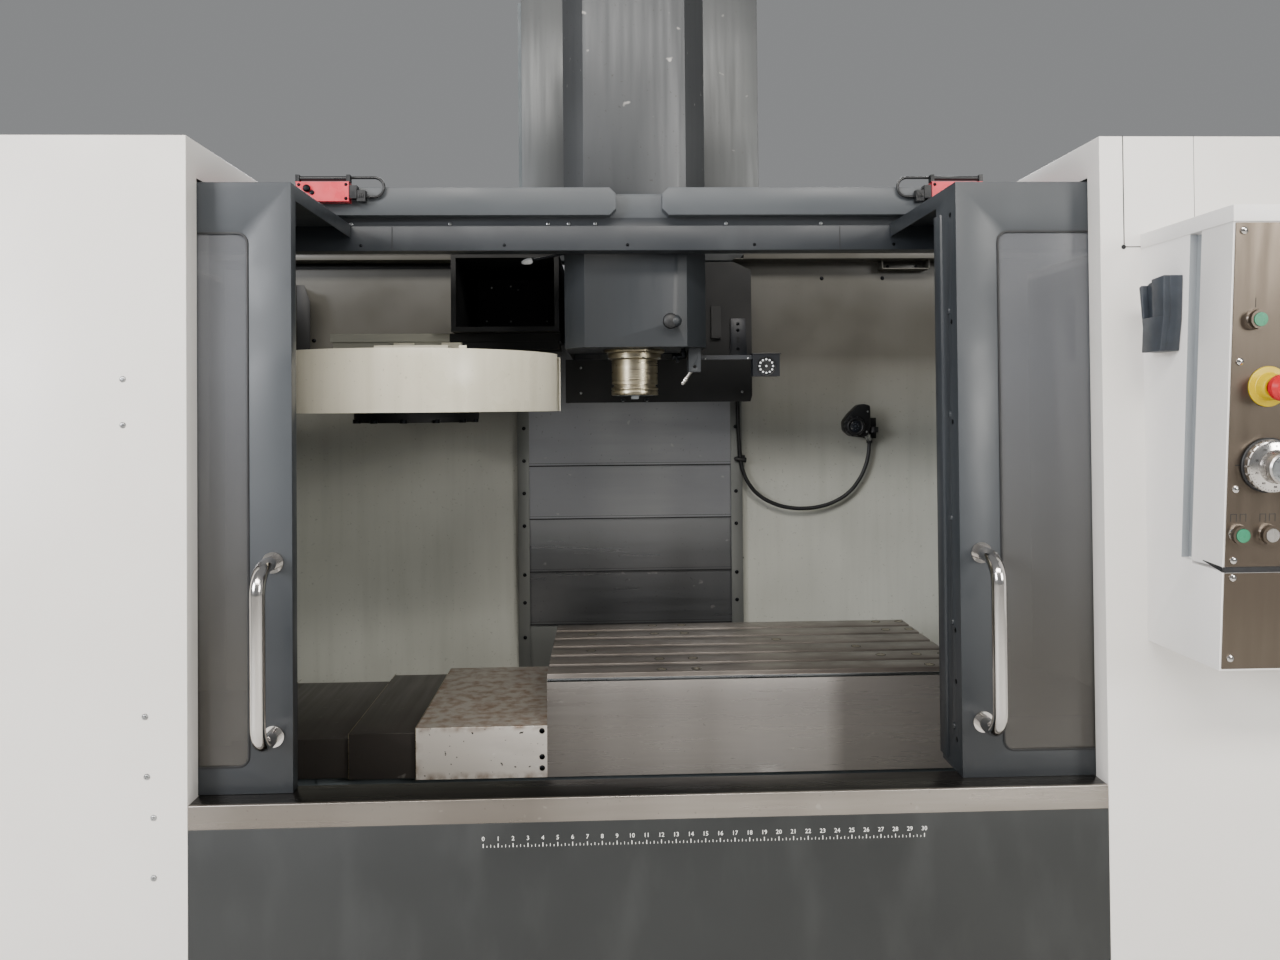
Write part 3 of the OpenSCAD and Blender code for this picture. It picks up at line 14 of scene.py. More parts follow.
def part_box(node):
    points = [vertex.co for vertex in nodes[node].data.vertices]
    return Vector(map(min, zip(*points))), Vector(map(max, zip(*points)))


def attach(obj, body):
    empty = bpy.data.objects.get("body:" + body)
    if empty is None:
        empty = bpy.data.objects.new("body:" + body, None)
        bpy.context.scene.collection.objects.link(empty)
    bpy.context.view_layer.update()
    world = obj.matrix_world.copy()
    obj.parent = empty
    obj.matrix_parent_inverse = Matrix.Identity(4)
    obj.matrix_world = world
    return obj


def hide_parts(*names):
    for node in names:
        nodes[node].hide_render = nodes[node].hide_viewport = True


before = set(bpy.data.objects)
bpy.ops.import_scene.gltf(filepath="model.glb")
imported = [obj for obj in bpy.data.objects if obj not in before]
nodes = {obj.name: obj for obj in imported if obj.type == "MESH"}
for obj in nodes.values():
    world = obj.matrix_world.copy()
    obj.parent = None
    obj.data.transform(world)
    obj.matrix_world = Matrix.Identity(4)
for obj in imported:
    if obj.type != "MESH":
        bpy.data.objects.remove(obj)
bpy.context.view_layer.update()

# %% [markdown]
# ## Shared sizes
# The front plane is the apron's, and the middle of the head is the spindle's. Both are measured
# on the CAD nodes, so that the added pieces follow them.

# %% Measure the frame
front_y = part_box("front_apron")[0].y * 1000
axis_x = sum(v.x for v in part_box("spindle")) * 500
print("front plane", round(front_y, 2), "spindle x", round(axis_x, 2))


def pt(x, d, z):
    """A point in metres from x, depth and height in mm."""
    return Vector((x / 1000, (front_y + d) / 1000, z / 1000))


def srgb(text):
    """A linear colour from a hex value."""
    out = []
    for i in (0, 2, 4):
        v = int(text[i:i + 2], 16) / 255
        out.append(v / 12.92 if v <= 0.04045 else ((v + 0.055) / 1.055) ** 2.4)
    return (*out, 1.0)


# %% [markdown]
# ## Camera
# The photograph was taken by hand from just left of the middle, at head height. Its lens, turn and
# tilt were worked out from the edges of the doors and the sill, so the camera repeats them.

# %% Camera
cam_data = bpy.data.cameras.new("photo_camera")
cam = bpy.data.objects.new("photo_camera", cam_data)
bpy.context.scene.collection.objects.link(cam)
bpy.context.scene.camera = cam
cam_data.sensor_width = 36
cam_data.lens = 26.66
cam_data.shift_y = -0.0659
cam_data.clip_start, cam_data.clip_end = 0.05, 60
yaw, pitch, roll = math.radians(2.032), math.radians(0.729), math.radians(0.502)
look = (Matrix.Rotation(-yaw, 4, "Z") @ Matrix.Rotation(math.pi / 2 + pitch, 4, "X")
        @ Matrix.Rotation(-roll, 4, "Z"))
cam.matrix_world = Matrix.Translation(pt(-79.5, -1637, 1408)) @ look
print("camera at", [round(v, 3) for v in cam.location])

# %% [markdown]
# ## Hose of the probe receiver
# A black rubber hose leaves a gland under the black guard, hangs in one loop and rises to the
# receiver's gland. It is one smooth curve through the route's points. The bare curve gives the
# middle line that the hose follows, and with a round bevel it is turned into a tube of faces.

# %% Hose
def alone():
    """Deselects everything, so that an operator acts on the new piece only."""
    if bpy.context.object and bpy.context.object.mode != "OBJECT":
        bpy.ops.object.mode_set(mode="OBJECT")
    bpy.ops.object.select_all(action="DESELECT")


hose_r = 5.8
hose_route = [
    (306, 1143, 1470), (306, 1143, 1440), (307, 1143, 1390), (308, 1143, 1340), (310, 1143, 1300),
    (313, 1143, 1258), (322, 1143, 1215), (342, 1143, 1175), (372, 1143, 1144), (412, 1143, 1122),
    (456, 1143, 1110), (502, 1143, 1107), (548, 1144, 1112), (594, 1145, 1127), (634, 1146, 1152),
    (664, 1148, 1186), (684, 1149, 1224), (695, 1150, 1262), (699, 1150, 1298)]
curve = bpy.data.curves.new("probe_hose_line", "CURVE")
curve.dimensions = "3D"
curve.resolution_u = 6
line = curve.splines.new("BEZIER")
line.bezier_points.add(len(hose_route) - 1)
for p, at in zip(line.bezier_points, hose_route):
    p.co = pt(*at)
    p.handle_left_type = p.handle_right_type = "AUTO"
hose = bpy.data.objects.new("receiver_hose", curve)
bpy.context.scene.collection.objects.link(hose)
bpy.context.view_layer.update()
middle_line = [v.co.copy() for v in hose.to_mesh().vertices]
hose.to_mesh_clear()
curve.bevel_depth, curve.bevel_resolution, curve.use_fill_caps = hose_r / 1000, 4, True
alone()
bpy.context.view_layer.objects.active = hose
hose.select_set(True)
bpy.ops.object.convert(target="MESH")
bpy.ops.object.mode_set(mode="EDIT")
bpy.ops.mesh.select_all(action="SELECT")
bpy.ops.mesh.remove_doubles(threshold=0.00001)
bpy.ops.mesh.normals_make_consistent(inside=False)
bpy.ops.object.mode_set(mode="OBJECT")
bpy.ops.object.shade_smooth_by_angle(angle=math.radians(35))
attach(hose, "machine")
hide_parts("probe_hose")

# %% [markdown]
# ## Floor and light
# A long soft key light hangs high in front, as the hall's tubes do. Two softboxes stand to the left
# and right, out of the mirror direction of the flat panels, and a fourth light stands behind.

# %% Lights and floor
world = bpy.data.worlds.new("studio")
bpy.context.scene.world = world
world.use_nodes = True
world.node_tree.nodes["Background"].inputs["Color"].default_value = srgb("f4f6f8")
world.node_tree.nodes["Background"].inputs["Strength"].default_value = 0.28


def area_light(name, at, target, size, power, color="ffffff"):
    data = bpy.data.lights.new(name, "AREA")
    data.shape = "RECTANGLE"
    data.size, data.size_y = size
    data.energy = power
    data.color = srgb(color)[:3]
    lamp = bpy.data.objects.new(name, data)
    bpy.context.scene.collection.objects.link(lamp)
    lamp.location = at
    lamp.rotation_euler = (Vector(target) - Vector(at)).to_track_quat("-Z", "Y").to_euler()


area_light("key_light", (-0.3, -5.4, 5.2), (0, 0.3, 0.9), (6.4, 1.2), 470, "fffaf3")
area_light("left_light", (-3.6, -4.0, 2.5), (0.5, 0.0, 1.0), (1.4, 1.6), 200, "fbfcff")
area_light("right_light", (3.4, -4.4, 2.4), (-0.4, 0.0, 1.0), (1.2, 1.6), 120, "fffdf8")
area_light("back_light", (0.6, 4.2, 4.4), (0, 0.6, 1.2), (4.0, 1.4), 260)


alone()
bpy.ops.mesh.primitive_plane_add(size=24, location=(0, 0, 0))
floor = bpy.context.object
floor.name = "studio_floor"
print("lights and floor made")

# %% [markdown]
# ## How the finishes are made
# Every finish starts from the Principled shader. One small function adds a node with its settings
# and links. The patterns read Object coordinates, and their scale comes from a size in mm.
# A finish is then built like real paint or dirt: tones are laid over each other, one at a time.

# %% Shader helpers
finishes = {}


def start_finish(key, name, tone, rough, metal=0.0):
    """A new material with its plain colour, roughness and metalness on the shader itself."""
    m = bpy.data.materials.new(name)
    m.use_nodes = True
    shader = m.node_tree.nodes["Principled BSDF"]
    shader.inputs["Base Color"].default_value = srgb(tone)
    shader.inputs["Roughness"].default_value = rough
    shader.inputs["Metallic"].default_value = metal
    finishes[key] = m
    return m


def add(m, kind, settings=None, **inputs):
    """Adds one node, sets its options, and fills its inputs with values or sockets."""
    n = m.node_tree.nodes.new("ShaderNode" + kind)
    for name, value in (settings or {}).items():
        setattr(n, name, value)
    for name, value in inputs.items():
        socket = n.inputs[int(name[1:]) if name[1:].isdigit() else name.replace("_", " ")]
        if isinstance(value, bpy.types.NodeSocket):
            m.node_tree.links.new(value, socket)
        else:
            socket.default_value = value
    return n


def speckle(m, mm, stretch=(1, 1, 1), low=0.35, high=0.65, detail=4.0):
    """A mask of soft marks about mm wide, drawn out by stretch, spread to run from 0 to 1."""
    where = add(m, "TexCoord").outputs["Object"]
    placed = add(m, "Mapping", Vector=where, Scale=stretch).outputs["Vector"]
    noise = add(m, "TexNoise", Vector=placed, Scale=1000 / mm, Detail=detail).outputs["Fac"]
    return add(m, "MapRange", Value=noise, From_Min=low, From_Max=high).outputs["Result"]


def beyond(m, start, full, axis="Z", place=("TexCoord", "Object")):
    """A mask by place: 0 at start and 1 from full on, in metres along an axis."""
    where = add(m, "SeparateXYZ", Vector=add(m, place[0]).outputs[place[1]])
    return add(m, "MapRange", Value=where.outputs[axis], From_Min=start, From_Max=full).outputs[0]


def facing_up(m):
    """A mask of the faces that look upwards, where dirt and coolant settle."""
    return beyond(m, 0.4, 0.8, place=("NewGeometry", "Normal"))


def lay(m, mask, tone, amount=1.0):
    """Lays a tone over the colour so far, as far as the mask and the amount reach."""
    base = m.node_tree.nodes["Principled BSDF"].inputs["Base Color"]
    under = base.links[0].from_socket if base.is_linked else tuple(base.default_value)
    reach = add(m, "Math", {"operation": "MULTIPLY"}, _0=mask, _1=amount).outputs[0]
    over = add(m, "Mix", {"data_type": "RGBA"}, _0=reach, _6=under, _7=srgb(tone)).outputs[2]
    m.node_tree.links.new(over, base)


def skin(m, grain, mm, strength, wander, low, high):
    """Gives the surface a relief of mm, and a roughness that wanders from low to high."""
    shader = m.node_tree.nodes["Principled BSDF"]
    bump = add(m, "Bump", Height=grain, Strength=strength, Distance=mm / 1000)
    rough = add(m, "MapRange", Value=wander, To_Min=low, To_Max=high)
    m.node_tree.links.new(bump.outputs["Normal"], shader.inputs["Normal"])
    m.node_tree.links.new(rough.outputs["Result"], shader.inputs["Roughness"])


# %% [markdown]
# ## Powder coat
# Polyester powder baked on steel sheet. It gives a half-matt, very slightly pebbled skin with
# almost no colour change, apart from handling marks on the dark panels. The doors also get
# painted shade that darkens them towards the bottom.

# %% Powder coated panels
def powder_coat(key, name, dark, light, rough=0.42, pebble=1.6, marks=0.0, mark="8a8c8c"):
    m = start_finish(key, name, dark, rough)
    lay(m, speckle(m, 420), light)
    if marks:
        lay(m, speckle(m, 70, (1, 1, 0.35), 0.5, 0.75, 6), mark, marks)
    skin(m, speckle(m, pebble, detail=2), 0.05, 0.2, speckle(m, 160), rough - 0.06, rough + 0.08)
    return m


powder_coat("white", "white_powder_coat", "e3e0db", "e8e5e1", 0.38)
powder_coat("apron", "dark_powder_coat", "202222", "262828", 0.46, marks=0.04)
m = powder_coat("door", "slate_powder_coat", "31353a", "383c40", 0.38, marks=0.08, mark="54585c")
# Painted shade: the doors darken towards the bottom, below 1.25 m.
lay(m, beyond(m, 1.25, 0.82), "121416", 0.65)
m = powder_coat("header", "header_powder_coat", "24282d", "2a2e33", 0.46, marks=0.14, mark="4c5054")
lay(m, beyond(m, 1.831, 1.832), "484c50")
powder_coat("black", "black_powder_coat", "050608", "090a0c", 0.55, marks=0.05, mark="202328")
powder_coat("motor", "motor_paint", "202225", "2d2f32", 0.36, 2.2)
m = powder_coat("arm", "lamp_arm_paint", "2a2c30", "34363a", 0.4, marks=0.1, mark="55585c")
lay(m, beyond(m, 0.266, 0.268, "X"), "0d1017", 0.9)
powder_coat("cabinet", "cabinet_powder_coat", "cecbc5", "d8d5cf", 0.44)
powder_coat("cap_white", "pendant_powder_coat", "eceae7", "f1efed", 0.36)
# Painted shade for the pendant's side channels.
powder_coat("channel_shade", "channel_shade_grey_powder_coat", "8f9498", "9a9fa3", 0.5)
print("powder coats:", len(finishes))

# %% [markdown]
# ## Enamel of the lining and the carousel band
# A thicker sprayed enamel. Coolant leaves long, faint run marks, so the tone is laid on by noise
# that is stretched upwards. The lining's inner faces are darkened towards the top as painted shade
# of the header.

# %% Enamels
def enamel(key, name, dark, light, stain, amount, rough=0.34):
    m = start_finish(key, name, dark, rough)
    lay(m, speckle(m, 380), light)
    lay(m, speckle(m, 34, (1, 1, 0.06), 0.48, 0.8, 5), stain, amount)
    lay(m, speckle(m, 7, (1, 1, 1), 0.7, 0.76, 1), stain, 0.5)
    skin(m, speckle(m, 2.4, detail=2), 0.06, 0.2, speckle(m, 120), rough - 0.05, rough + 0.1)
    return m


m = enamel("wall", "lining_enamel", "b4b5ac", "c3c4bb", "8e8f86", 0.25)
# Painted shade of the header: the lining's inner faces darken towards the top.
inside = beyond(m, 0.5, 0.1, "Y", ("NewGeometry", "Normal"))
header_shade_mask = add(m, "Math", {"operation": "MULTIPLY"}, _0=inside, _1=beyond(m, 1.18, 1.56)).outputs[0]
lay(m, header_shade_mask, "413e38", 0.92)
enamel("cream", "cream_enamel", "d2cdb9", "e0dbc9", "a8a28c", 0.35, 0.3)
print("enamels added")

# %% [markdown]
# ## Bare sheet steel
# Stainless sheet is drawn through rolls, which leaves fine streaks along one direction. They spread
# the reflections across the streaks. Chips and coolant leave blotches, pits and short scratches.

# %% Bare sheets
def bare_sheet(key, name, dark, light, rough, streaks, metal=0.9, stains=0.3, stain="5d544c"):
    m = start_finish(key, name, dark, rough, metal)
    grain = speckle(m, 16, streaks, 0.3, 0.7, 4)
    across = tuple(0.12 if s == 1 else 1 for s in streaks)
    lay(m, speckle(m, 420, across, 0.38, 0.62, 2), light)
    lay(m, grain, dark, 0.3)
    lay(m, speckle(m, 70, tuple(0.3 + 0.7 * s for s in streaks), 0.55, 0.8, 8), stain, stains * 0.6)
    lay(m, speckle(m, 8, low=0.69, high=0.74, detail=2), "2c2824", stains * 1.6)
    lay(m, speckle(m, 5, (0.12, 0.9, 0.16), 0.72, 0.76, 2), "e6e2dc", stains)
    skin(m, speckle(m, 1.5, streaks, 0.3, 0.7, 3), 0.03, 0.12, grain, rough - 0.04, rough + 0.08)
    return m


along_x, along_y, along_z = (0.05, 1, 1), (1, 0.05, 1), (1, 1, 0.05)
bare_sheet("steel", "brushed_stainless", "b3b0ad", "cfccc9", 0.26, along_z, 1.0, 0.05)
bare_sheet("tube", "polished_stainless_tube", "c6c3c0", "dad7d4", 0.12, along_z, 1.0, 0.03)
bare_sheet("apron_plate", "table_front_stainless", "98928c", "e4ded8", 0.27, along_x, 0.7, 0.14)
bare_sheet("slide_plate", "column_plate_steel", "94969a", "b2b4b4", 0.36, along_x, 0.65, 0.2,
           "54565a")
bare_sheet("panel", "pendant_face_steel", "564d44", "675e54", 0.32, along_z, 0.85, 0.0)
bare_sheet("cover_dark", "dark_cover_steel", "45413e", "5e5a57", 0.32, along_y, 0.6, 0.2)
print("sheets added")

# %% [markdown]
# ## Sheets with their own wear, and a painted reflection
# The sill is bright on its front fold, and its top behind the fold is laid near black. The inner
# cover is bright in front, dull on top, and rusty at its edges. The lower column plates stand in
# oil mist.

# %% Worn sheets
m = bare_sheet("sill", "worn_stainless_sill", "7c766f", "a6a099", 0.28, along_x, 0.85, 0.14)
lay(m, beyond(m, front_y / 1000 + 0.004, front_y / 1000 + 0.007, "Y"), "0c0c0d", 0.88)
m = finishes["apron_plate"]
# Painted reflection on the table's front plate: lighter from x 0.14 m on, darker again from x 0.39
# m on.
lay(m, beyond(m, 0.14, 0.24, "X"), "f2ece6", 0.4)
lay(m, beyond(m, 0.39, 0.43, "X"), "6b655f", 0.55)
m = bare_sheet("nozzle", "nozzle_steel", "a8a5a2", "c4c1be", 0.26, along_z, 1.0, 0.05)
lay(m, beyond(m, 1.494, 1.497), "101113", 0.95)
m = bare_sheet("cover", "rolled_cover_steel", "d6d0c8", "f2ede6", 0.34, along_x, 0.4, 0.6, "6b5f50")
lay(m, facing_up(m), "8d877e", 0.8)
rusty = speckle(m, 26, (1, 1, 1), 0.42, 0.7, 6)
for edge in (beyond(m, -0.474, -0.49, "X"), beyond(m, 0.716, 0.727), beyond(m, 0.638, 0.624)):
    lay(m, add(m, "Math", {"operation": "MULTIPLY"}, _0=rusty, _1=edge).outputs[0], "6e4a26", 0.75)
m = bare_sheet("slide_dark", "oiled_column_plate_steel", "6c6e70", "909296", 0.3, along_x, 0.75,
               0.2, "2c2d2d")
lay(m, beyond(m, 0.98, 1.08), "9c9ea0", 0.7)
m = bare_sheet("tower", "column_cover_steel", "4e5051", "636566", 0.46, along_z, 0.6, 0.1, "404244")
lay(m, beyond(m, 1.61, 1.6), "80827f", 0.9)
print("worn sheets added")

# %% [markdown]
# ## The head's cover
# It is one tall sheet. Below the roof it is painted dark slate, and above it is bare steel.
# A mask by height switches colour and metalness, and the header hides the change.

# %% Head cover
m = bare_sheet("head", "head_cover", "434547", "535557", 0.46, along_z, 0.6, 0.25, "45484a")
lay(m, beyond(m, 1.79, 1.788), "23272b")
lay(m, speckle(m, 300), "15171a", 0.12)
bare_part = add(m, "Math", {"operation": "MULTIPLY"}, _0=beyond(m, 1.788, 1.79), _1=0.6)
m.node_tree.links.new(bare_part.outputs[0], m.node_tree.nodes["Principled BSDF"].inputs["Metallic"])
print("head cover added")

# %% [markdown]
# ## Machined and cast parts
# The table is ground cast iron with a darker, oily film. Guide rails, screws and the spindle are
# ground steel. Castings are rough under their paint.

# %% Castings and ground steel
m = start_finish("iron", "ground_cast_iron", "6f6862", 0.34, 0.65)
lay(m, speckle(m, 300, (1, 0.5, 1), detail=3), "958e87")
lay(m, speckle(m, 10, along_x, 0.35, 0.65, 3), "57514b", 0.25)
lay(m, speckle(m, 110, (0.5, 1, 1), 0.54, 0.72, 5), "38332e", 0.45)
skin(m, speckle(m, 1.2, along_x, 0.3, 0.7, 3), 0.02, 0.12, speckle(m, 60), 0.28, 0.42)


def machined(key, name, dark, light, mm, rough, stretch=(1, 1, 1)):
    m = start_finish(key, name, dark, rough, 1.0)
    lay(m, speckle(m, mm, stretch, detail=5), light)
    skin(m, speckle(m, 1.1, stretch), 0.02, 0.15, speckle(m, mm / 4, stretch),
         rough - 0.06, rough + 0.12)


machined("ground", "ground_steel", "94989b", "b4b8bb", 60, 0.26, along_x)
machined("spindle", "spindle_nose_steel", "968e7a", "ada48f", 14, 0.3, (0.05, 0.05, 1))
machined("zinc", "zinc_plated_screws", "8e8f8f", "c2c4c6", 6, 0.3)
machined("black_steel", "blackened_screws", "17181a", "2c2e31", 6, 0.34)
m = start_finish("casting", "painted_casting", "586064", 0.5)
lay(m, speckle(m, 300), "676f73")
skin(m, speckle(m, 5), 0.35, 0.4, speckle(m, 40), 0.42, 0.6)
print("castings and steel added")

# %% [markdown]
# ## Plastics, rubber, glass and prints
# Mouldings have a soft sheen and a fine spark-eroded grain. The windows are smoke-tinted
# polycarbonate, which keeps its default IOR of 1.5 and lets part of the view through. Their tone
# turns lighter and bluer towards the top as a painted reflection.

# %% Plastics and the rest
def moulded(key, name, dark, light, rough=0.4, grain=0.9):
    m = start_finish(key, name, dark, rough)
    lay(m, speckle(m, 40), light)
    skin(m, speckle(m, grain, detail=2), 0.03, 0.2, speckle(m, 25), rough - 0.05, rough + 0.1)


for row in (("rubber", "black_rubber", "0f1012", "1a1b1d", 0.5, 1.5),
            ("plastic", "moulded_grey_plastic", "31363d", "3b4149", 0.45),
            ("navy", "blue_black_plastic", "14171e", "1c2029", 0.42),
            ("socket", "black_plastic", "0b0c0e", "141518", 0.42),
            ("lens", "smoked_lens", "1c1e22", "2b2e34", 0.1),
            ("red", "red_moulded_plastic", "cf3a46", "e04a56", 0.3),
            ("estop", "red_button_plastic", "b9141f", "d0202c", 0.26),
            ("yellow", "yellow_ring_plastic", "bda200", "c9ae00", 0.36),
            ("green", "green_button_plastic", "27704f", "2f8060", 0.3),
            ("white_print", "white_print_ink", "e4e4e0", "f0f0ec", 0.5),
            ("black_print", "black_print_ink", "1a1a1a", "262626", 0.5),
            ("gap", "shadow_gap", "17181a", "202124", 0.7),
            ("led", "led_lenses", "cfd3d6", "f2f4f6", 0.2),
            ("screen", "screen_glass", "0c0e11", "14171b", 0.12),
            ("keys", "membrane_keys", "b9bab8", "cbccca", 0.45)):
    moulded(*row)
m = start_finish("glass", "smoked_polycarbonate", "42403d", 0.14)
# Painted reflection: the windows turn lighter and bluer from 0.95 m to 1.5 m.
lay(m, beyond(m, 0.95, 1.5), "626468")
skin(m, speckle(m, 8), 0.01, 0.02, speckle(m, 200), 0.1, 0.2)
m.node_tree.nodes["Principled BSDF"].inputs["Alpha"].default_value = 0.75
m = start_finish("floor", "pale_floor", "d4d2ce", 0.6)
lay(m, speckle(m, 900), "dcdad6")
skin(m, speckle(m, 12), 0.2, 0.1, speckle(m, 300), 0.55, 0.65)
floor.data.materials.append(m)
print(len(finishes), "finishes")

# %% [markdown]
# ## Nodes of two colours
# Each door switch is one CAD node with its plug and lead, so masks by place keep the body red and
# turn the plug and lead dark. The changer's box is black, and the guide beam that leaves it to the
# left is enamelled like the wall behind it.

# %% Switches and changer housing
m = finishes["red"]
where = add(m, "SeparateXYZ", Vector=add(m, "TexCoord").outputs["Object"])
away = add(m, "Math", {"operation": "SUBTRACT"}, _0=where.outputs["X"], _1=0.005).outputs[0]
away = add(m, "Math", {"operation": "ABSOLUTE"}, _0=away).outputs[0]
lay(m, add(m, "MapRange", Value=away, From_Min=0.6345, From_Max=0.6335).outputs[0], "1c1d1f")
lay(m, beyond(m, 1.8995, 1.9005), "1c1d1f")
m = powder_coat("housing", "changer_housing_paint", "040506", "08090b", 0.6)
lay(m, beyond(m, -0.475, -0.476, "X"), "9c9b90")
print("two-coloured nodes ready")

# %% [markdown]
# ## Dressing the CAD nodes
# A node whose shape is right keeps its mesh and gets the finish of the real part.

# %% Finishes of the nodes
look_of = {
    "casting": "base_casting column_casting saddle head_casting",
    "ground": "leveling_feet linear_rails y_ball_screw z_ball_screw x_rails x_ball_screw spindle",
    "motor": "axis_motors x_axis_motor spindle_motor",
    "white": "left_enclosure right_enclosure",
    "apron": "front_apron",
    "sill": "front_sill",
    "wall": "interior_liner chip_pan",
    "header": "header_beam",
    "red": "interlock_switches",
    "tower": "z_cover_frame",
    "cabinet": "control_cabinet",
    "black": "probe_receiver head_lower_cover changer_carousel",
    "arm": "lamp_arm",
    "housing": "changer_housing",
    "cap_white": "pendant_housing",
    "panel": "pendant_panel",
    "plastic": "tool_holster",
    "rubber": "probe_mount probe_hose",
    "green": "power_on_button cycle_start_button",
    "estop": "estop_button",
    "steel": "feed_hold_button jog_dial",
    "nozzle": "coolant_nozzle",
    "tube": "left_handle right_handle",
    "cover_dark": "x_cover_ends x_cover_middle x_cover_outer",
    "iron": "table",
    "apron_plate": "table_apron",
    "cover": "x_cover_inner",
    "head": "head_front_cover",
    "slide_plate": "z_cover_plate_1 z_cover_plate_2",
    "slide_dark": "z_cover_plate_3 z_cover_plate_4",
    "spindle": "spindle_cartridge",
    "cream": "changer_cover changer_shuttle",
    "door": "left_door right_door",
    "glass": "left_window right_window",
}
for key, names in look_of.items():
    for name in names.split():
        nodes[name].data.materials.clear()
        nodes[name].data.materials.append(finishes[key])
hose.data.materials.clear()
hose.data.materials.append(finishes["rubber"])
print("nodes dressed:", sum(len(v.split()) for v in look_of.values()))

# %% [markdown]
# ## Modelling helpers
# Each piece starts from a primitive at its size and place. It is shaped in edit mode, joined with
# its neighbours, and its edges are rounded by an applied bevel, as real sheet and bar are.

# %% Starting shapes
def settle(o):
    """Puts the object's place into its mesh."""
    bpy.context.view_layer.objects.active = o
    o.select_set(True)
    bpy.ops.object.transform_apply(location=True, rotation=True, scale=True)
    return o


def block(x, d, z):
    """A cube primitive brought to its size, from ranges in mm."""
    alone()
    low, high = pt(x[0], d[0], z[0]), pt(x[1], d[1], z[1])
    bpy.ops.mesh.primitive_cube_add(size=1, location=(low + high) / 2)
    o = bpy.context.object
    o.scale = high - low
    return settle(o)


def bar(a, b, r, sides=20):
    """A round bar between two points given as (x, d, z)."""
    alone()
    p, q = pt(*a), pt(*b)
    bpy.ops.mesh.primitive_cone_add(vertices=sides, radius1=r / 1000, radius2=r / 1000,
                                    depth=(q - p).length, location=(p + q) / 2)
    o = bpy.context.object
    o.rotation_mode = "QUATERNION"
    o.rotation_quaternion = (q - p).to_track_quat("Z", "Y")
    return settle(o)


def turned(at, out, profile, sides=28):
    """Spins a profile of (radius, height) points in mm about the line that leaves at along out."""
    alone()
    mesh = bpy.data.meshes.new("profile")
    mesh.from_pydata([(r / 1000, 0, h / 1000) for r, h in profile],
                     [(i, i + 1) for i in range(len(profile) - 1)], [])
    o = bpy.data.objects.new("profile", mesh)
    bpy.context.scene.collection.objects.link(o)
    bpy.context.view_layer.objects.active = o
    o.select_set(True)
    bpy.ops.object.mode_set(mode="EDIT")
    bpy.ops.mesh.select_all(action="SELECT")
    bpy.ops.mesh.spin(steps=sides, angle=2 * math.pi, center=(0, 0, 0), axis=(0, 0, 1))
    bpy.ops.mesh.select_all(action="SELECT")
    bpy.ops.mesh.remove_doubles(threshold=0.00001)
    bpy.ops.mesh.normals_make_consistent(inside=False)
    bpy.ops.object.mode_set(mode="OBJECT")
    o.rotation_mode = "QUATERNION"
    o.rotation_quaternion = Vector(out).to_track_quat("Z", "Y")
    o.location = pt(*at)
    return settle(o)


def plate(outline, thick):
    """Extrudes an outline of (x, d, z) corners by the vector thick, in mm."""
    alone()
    mesh = bpy.data.meshes.new("outline")
    mesh.from_pydata([pt(*p) for p in outline], [], [list(range(len(outline)))])
    o = bpy.data.objects.new("outline", mesh)
    bpy.context.scene.collection.objects.link(o)
    bpy.context.view_layer.objects.active = o
    o.select_set(True)
    bpy.ops.object.mode_set(mode="EDIT")
    bpy.ops.mesh.select_all(action="SELECT")
    bpy.ops.mesh.extrude_region_move(TRANSFORM_OT_translate={"value": Vector(thick) / 1000})
    bpy.ops.mesh.select_all(action="SELECT")
    bpy.ops.mesh.normals_make_consistent(inside=False)
    bpy.ops.object.mode_set(mode="OBJECT")
    return o


def finish_piece(parts, name, key, body, bevel=0.0, segments=2, angle=35):
    """Joins the parts, rounds their edges, shades them, and lets them ride on a body."""
    alone()
    parts = parts if isinstance(parts, list) else [parts]
    for o in parts:
        o.select_set(True)
    bpy.context.view_layer.objects.active = parts[0]
    if len(parts) > 1:
        bpy.ops.object.join()
    o = bpy.context.object
    o.name = o.data.name = name
    if bevel:
        edge = o.modifiers.new("edges", "BEVEL")
        edge.width, edge.segments, edge.limit_method = bevel / 1000, segments, "ANGLE"
        bpy.ops.object.modifier_apply(modifier="edges")
    bpy.ops.object.shade_smooth_by_angle(angle=math.radians(angle))
    o.data.materials.clear()
    o.data.materials.append(finishes[key])
    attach(o, body)
    made.append(name)
    return o


def copies(master, places):
    """Copies of a piece, each with its own mesh, moved by (x, d, z) steps in mm."""
    out = [master]
    for x, d, z in places:
        o = master.copy()
        o.data = master.data.copy()
        bpy.context.scene.collection.objects.link(o)
        o.data.transform(Matrix.Translation(Vector((x, d, z)) / 1000))
        out.append(o)
    return out


def at_places(shape, places):
    """One shape, made at the first place and copied to the others."""
    first = places[0]
    steps = [tuple(b - a for a, b in zip(first, p)) for p in places[1:]]
    return copies(shape(first), steps)


def studs(profile, places, out, sides):
    """A profile turned once, about the line that leaves along out, and copied to its places."""
    return at_places(lambda p: turned(p, out, profile, sides), places)


made = []
front, back = (0, -1, 0), (0, 1, 0)
left, right = (-1, 0, 0), (1, 0, 0)
up, down = (0, 0, 1), (0, 0, -1)
# Outline of a button head with its socket, for a head of radius 1
dome = [(0, 0.5), (0.28, 0.5), (0.3, 0.28), (0.36, 0.28), (0.4, 0.5), (0.66, 0.47), (0.88, 0.3),
        (1, 0)]


def screws(name, key, body, places, out, r=5.0):
    """Button head screws of radius r in mm."""
    profile = [(a * r, b * r) for a, b in dome]
    return finish_piece(studs(profile, places, out, 16), name, key, body)


def spread(a, b, n):
    """n values evenly spaced from a to b."""
    return [a + (b - a) * i / (n - 1) for i in range(n)]


print("helpers ready")

# %% [markdown]
# ## Softened edges
# Folded sheet and machined blocks are never knife sharp. A copy of the CAD mesh is merged, its flat
# faces are dissolved to one, and a small bevel rounds each edge so that it catches the light.

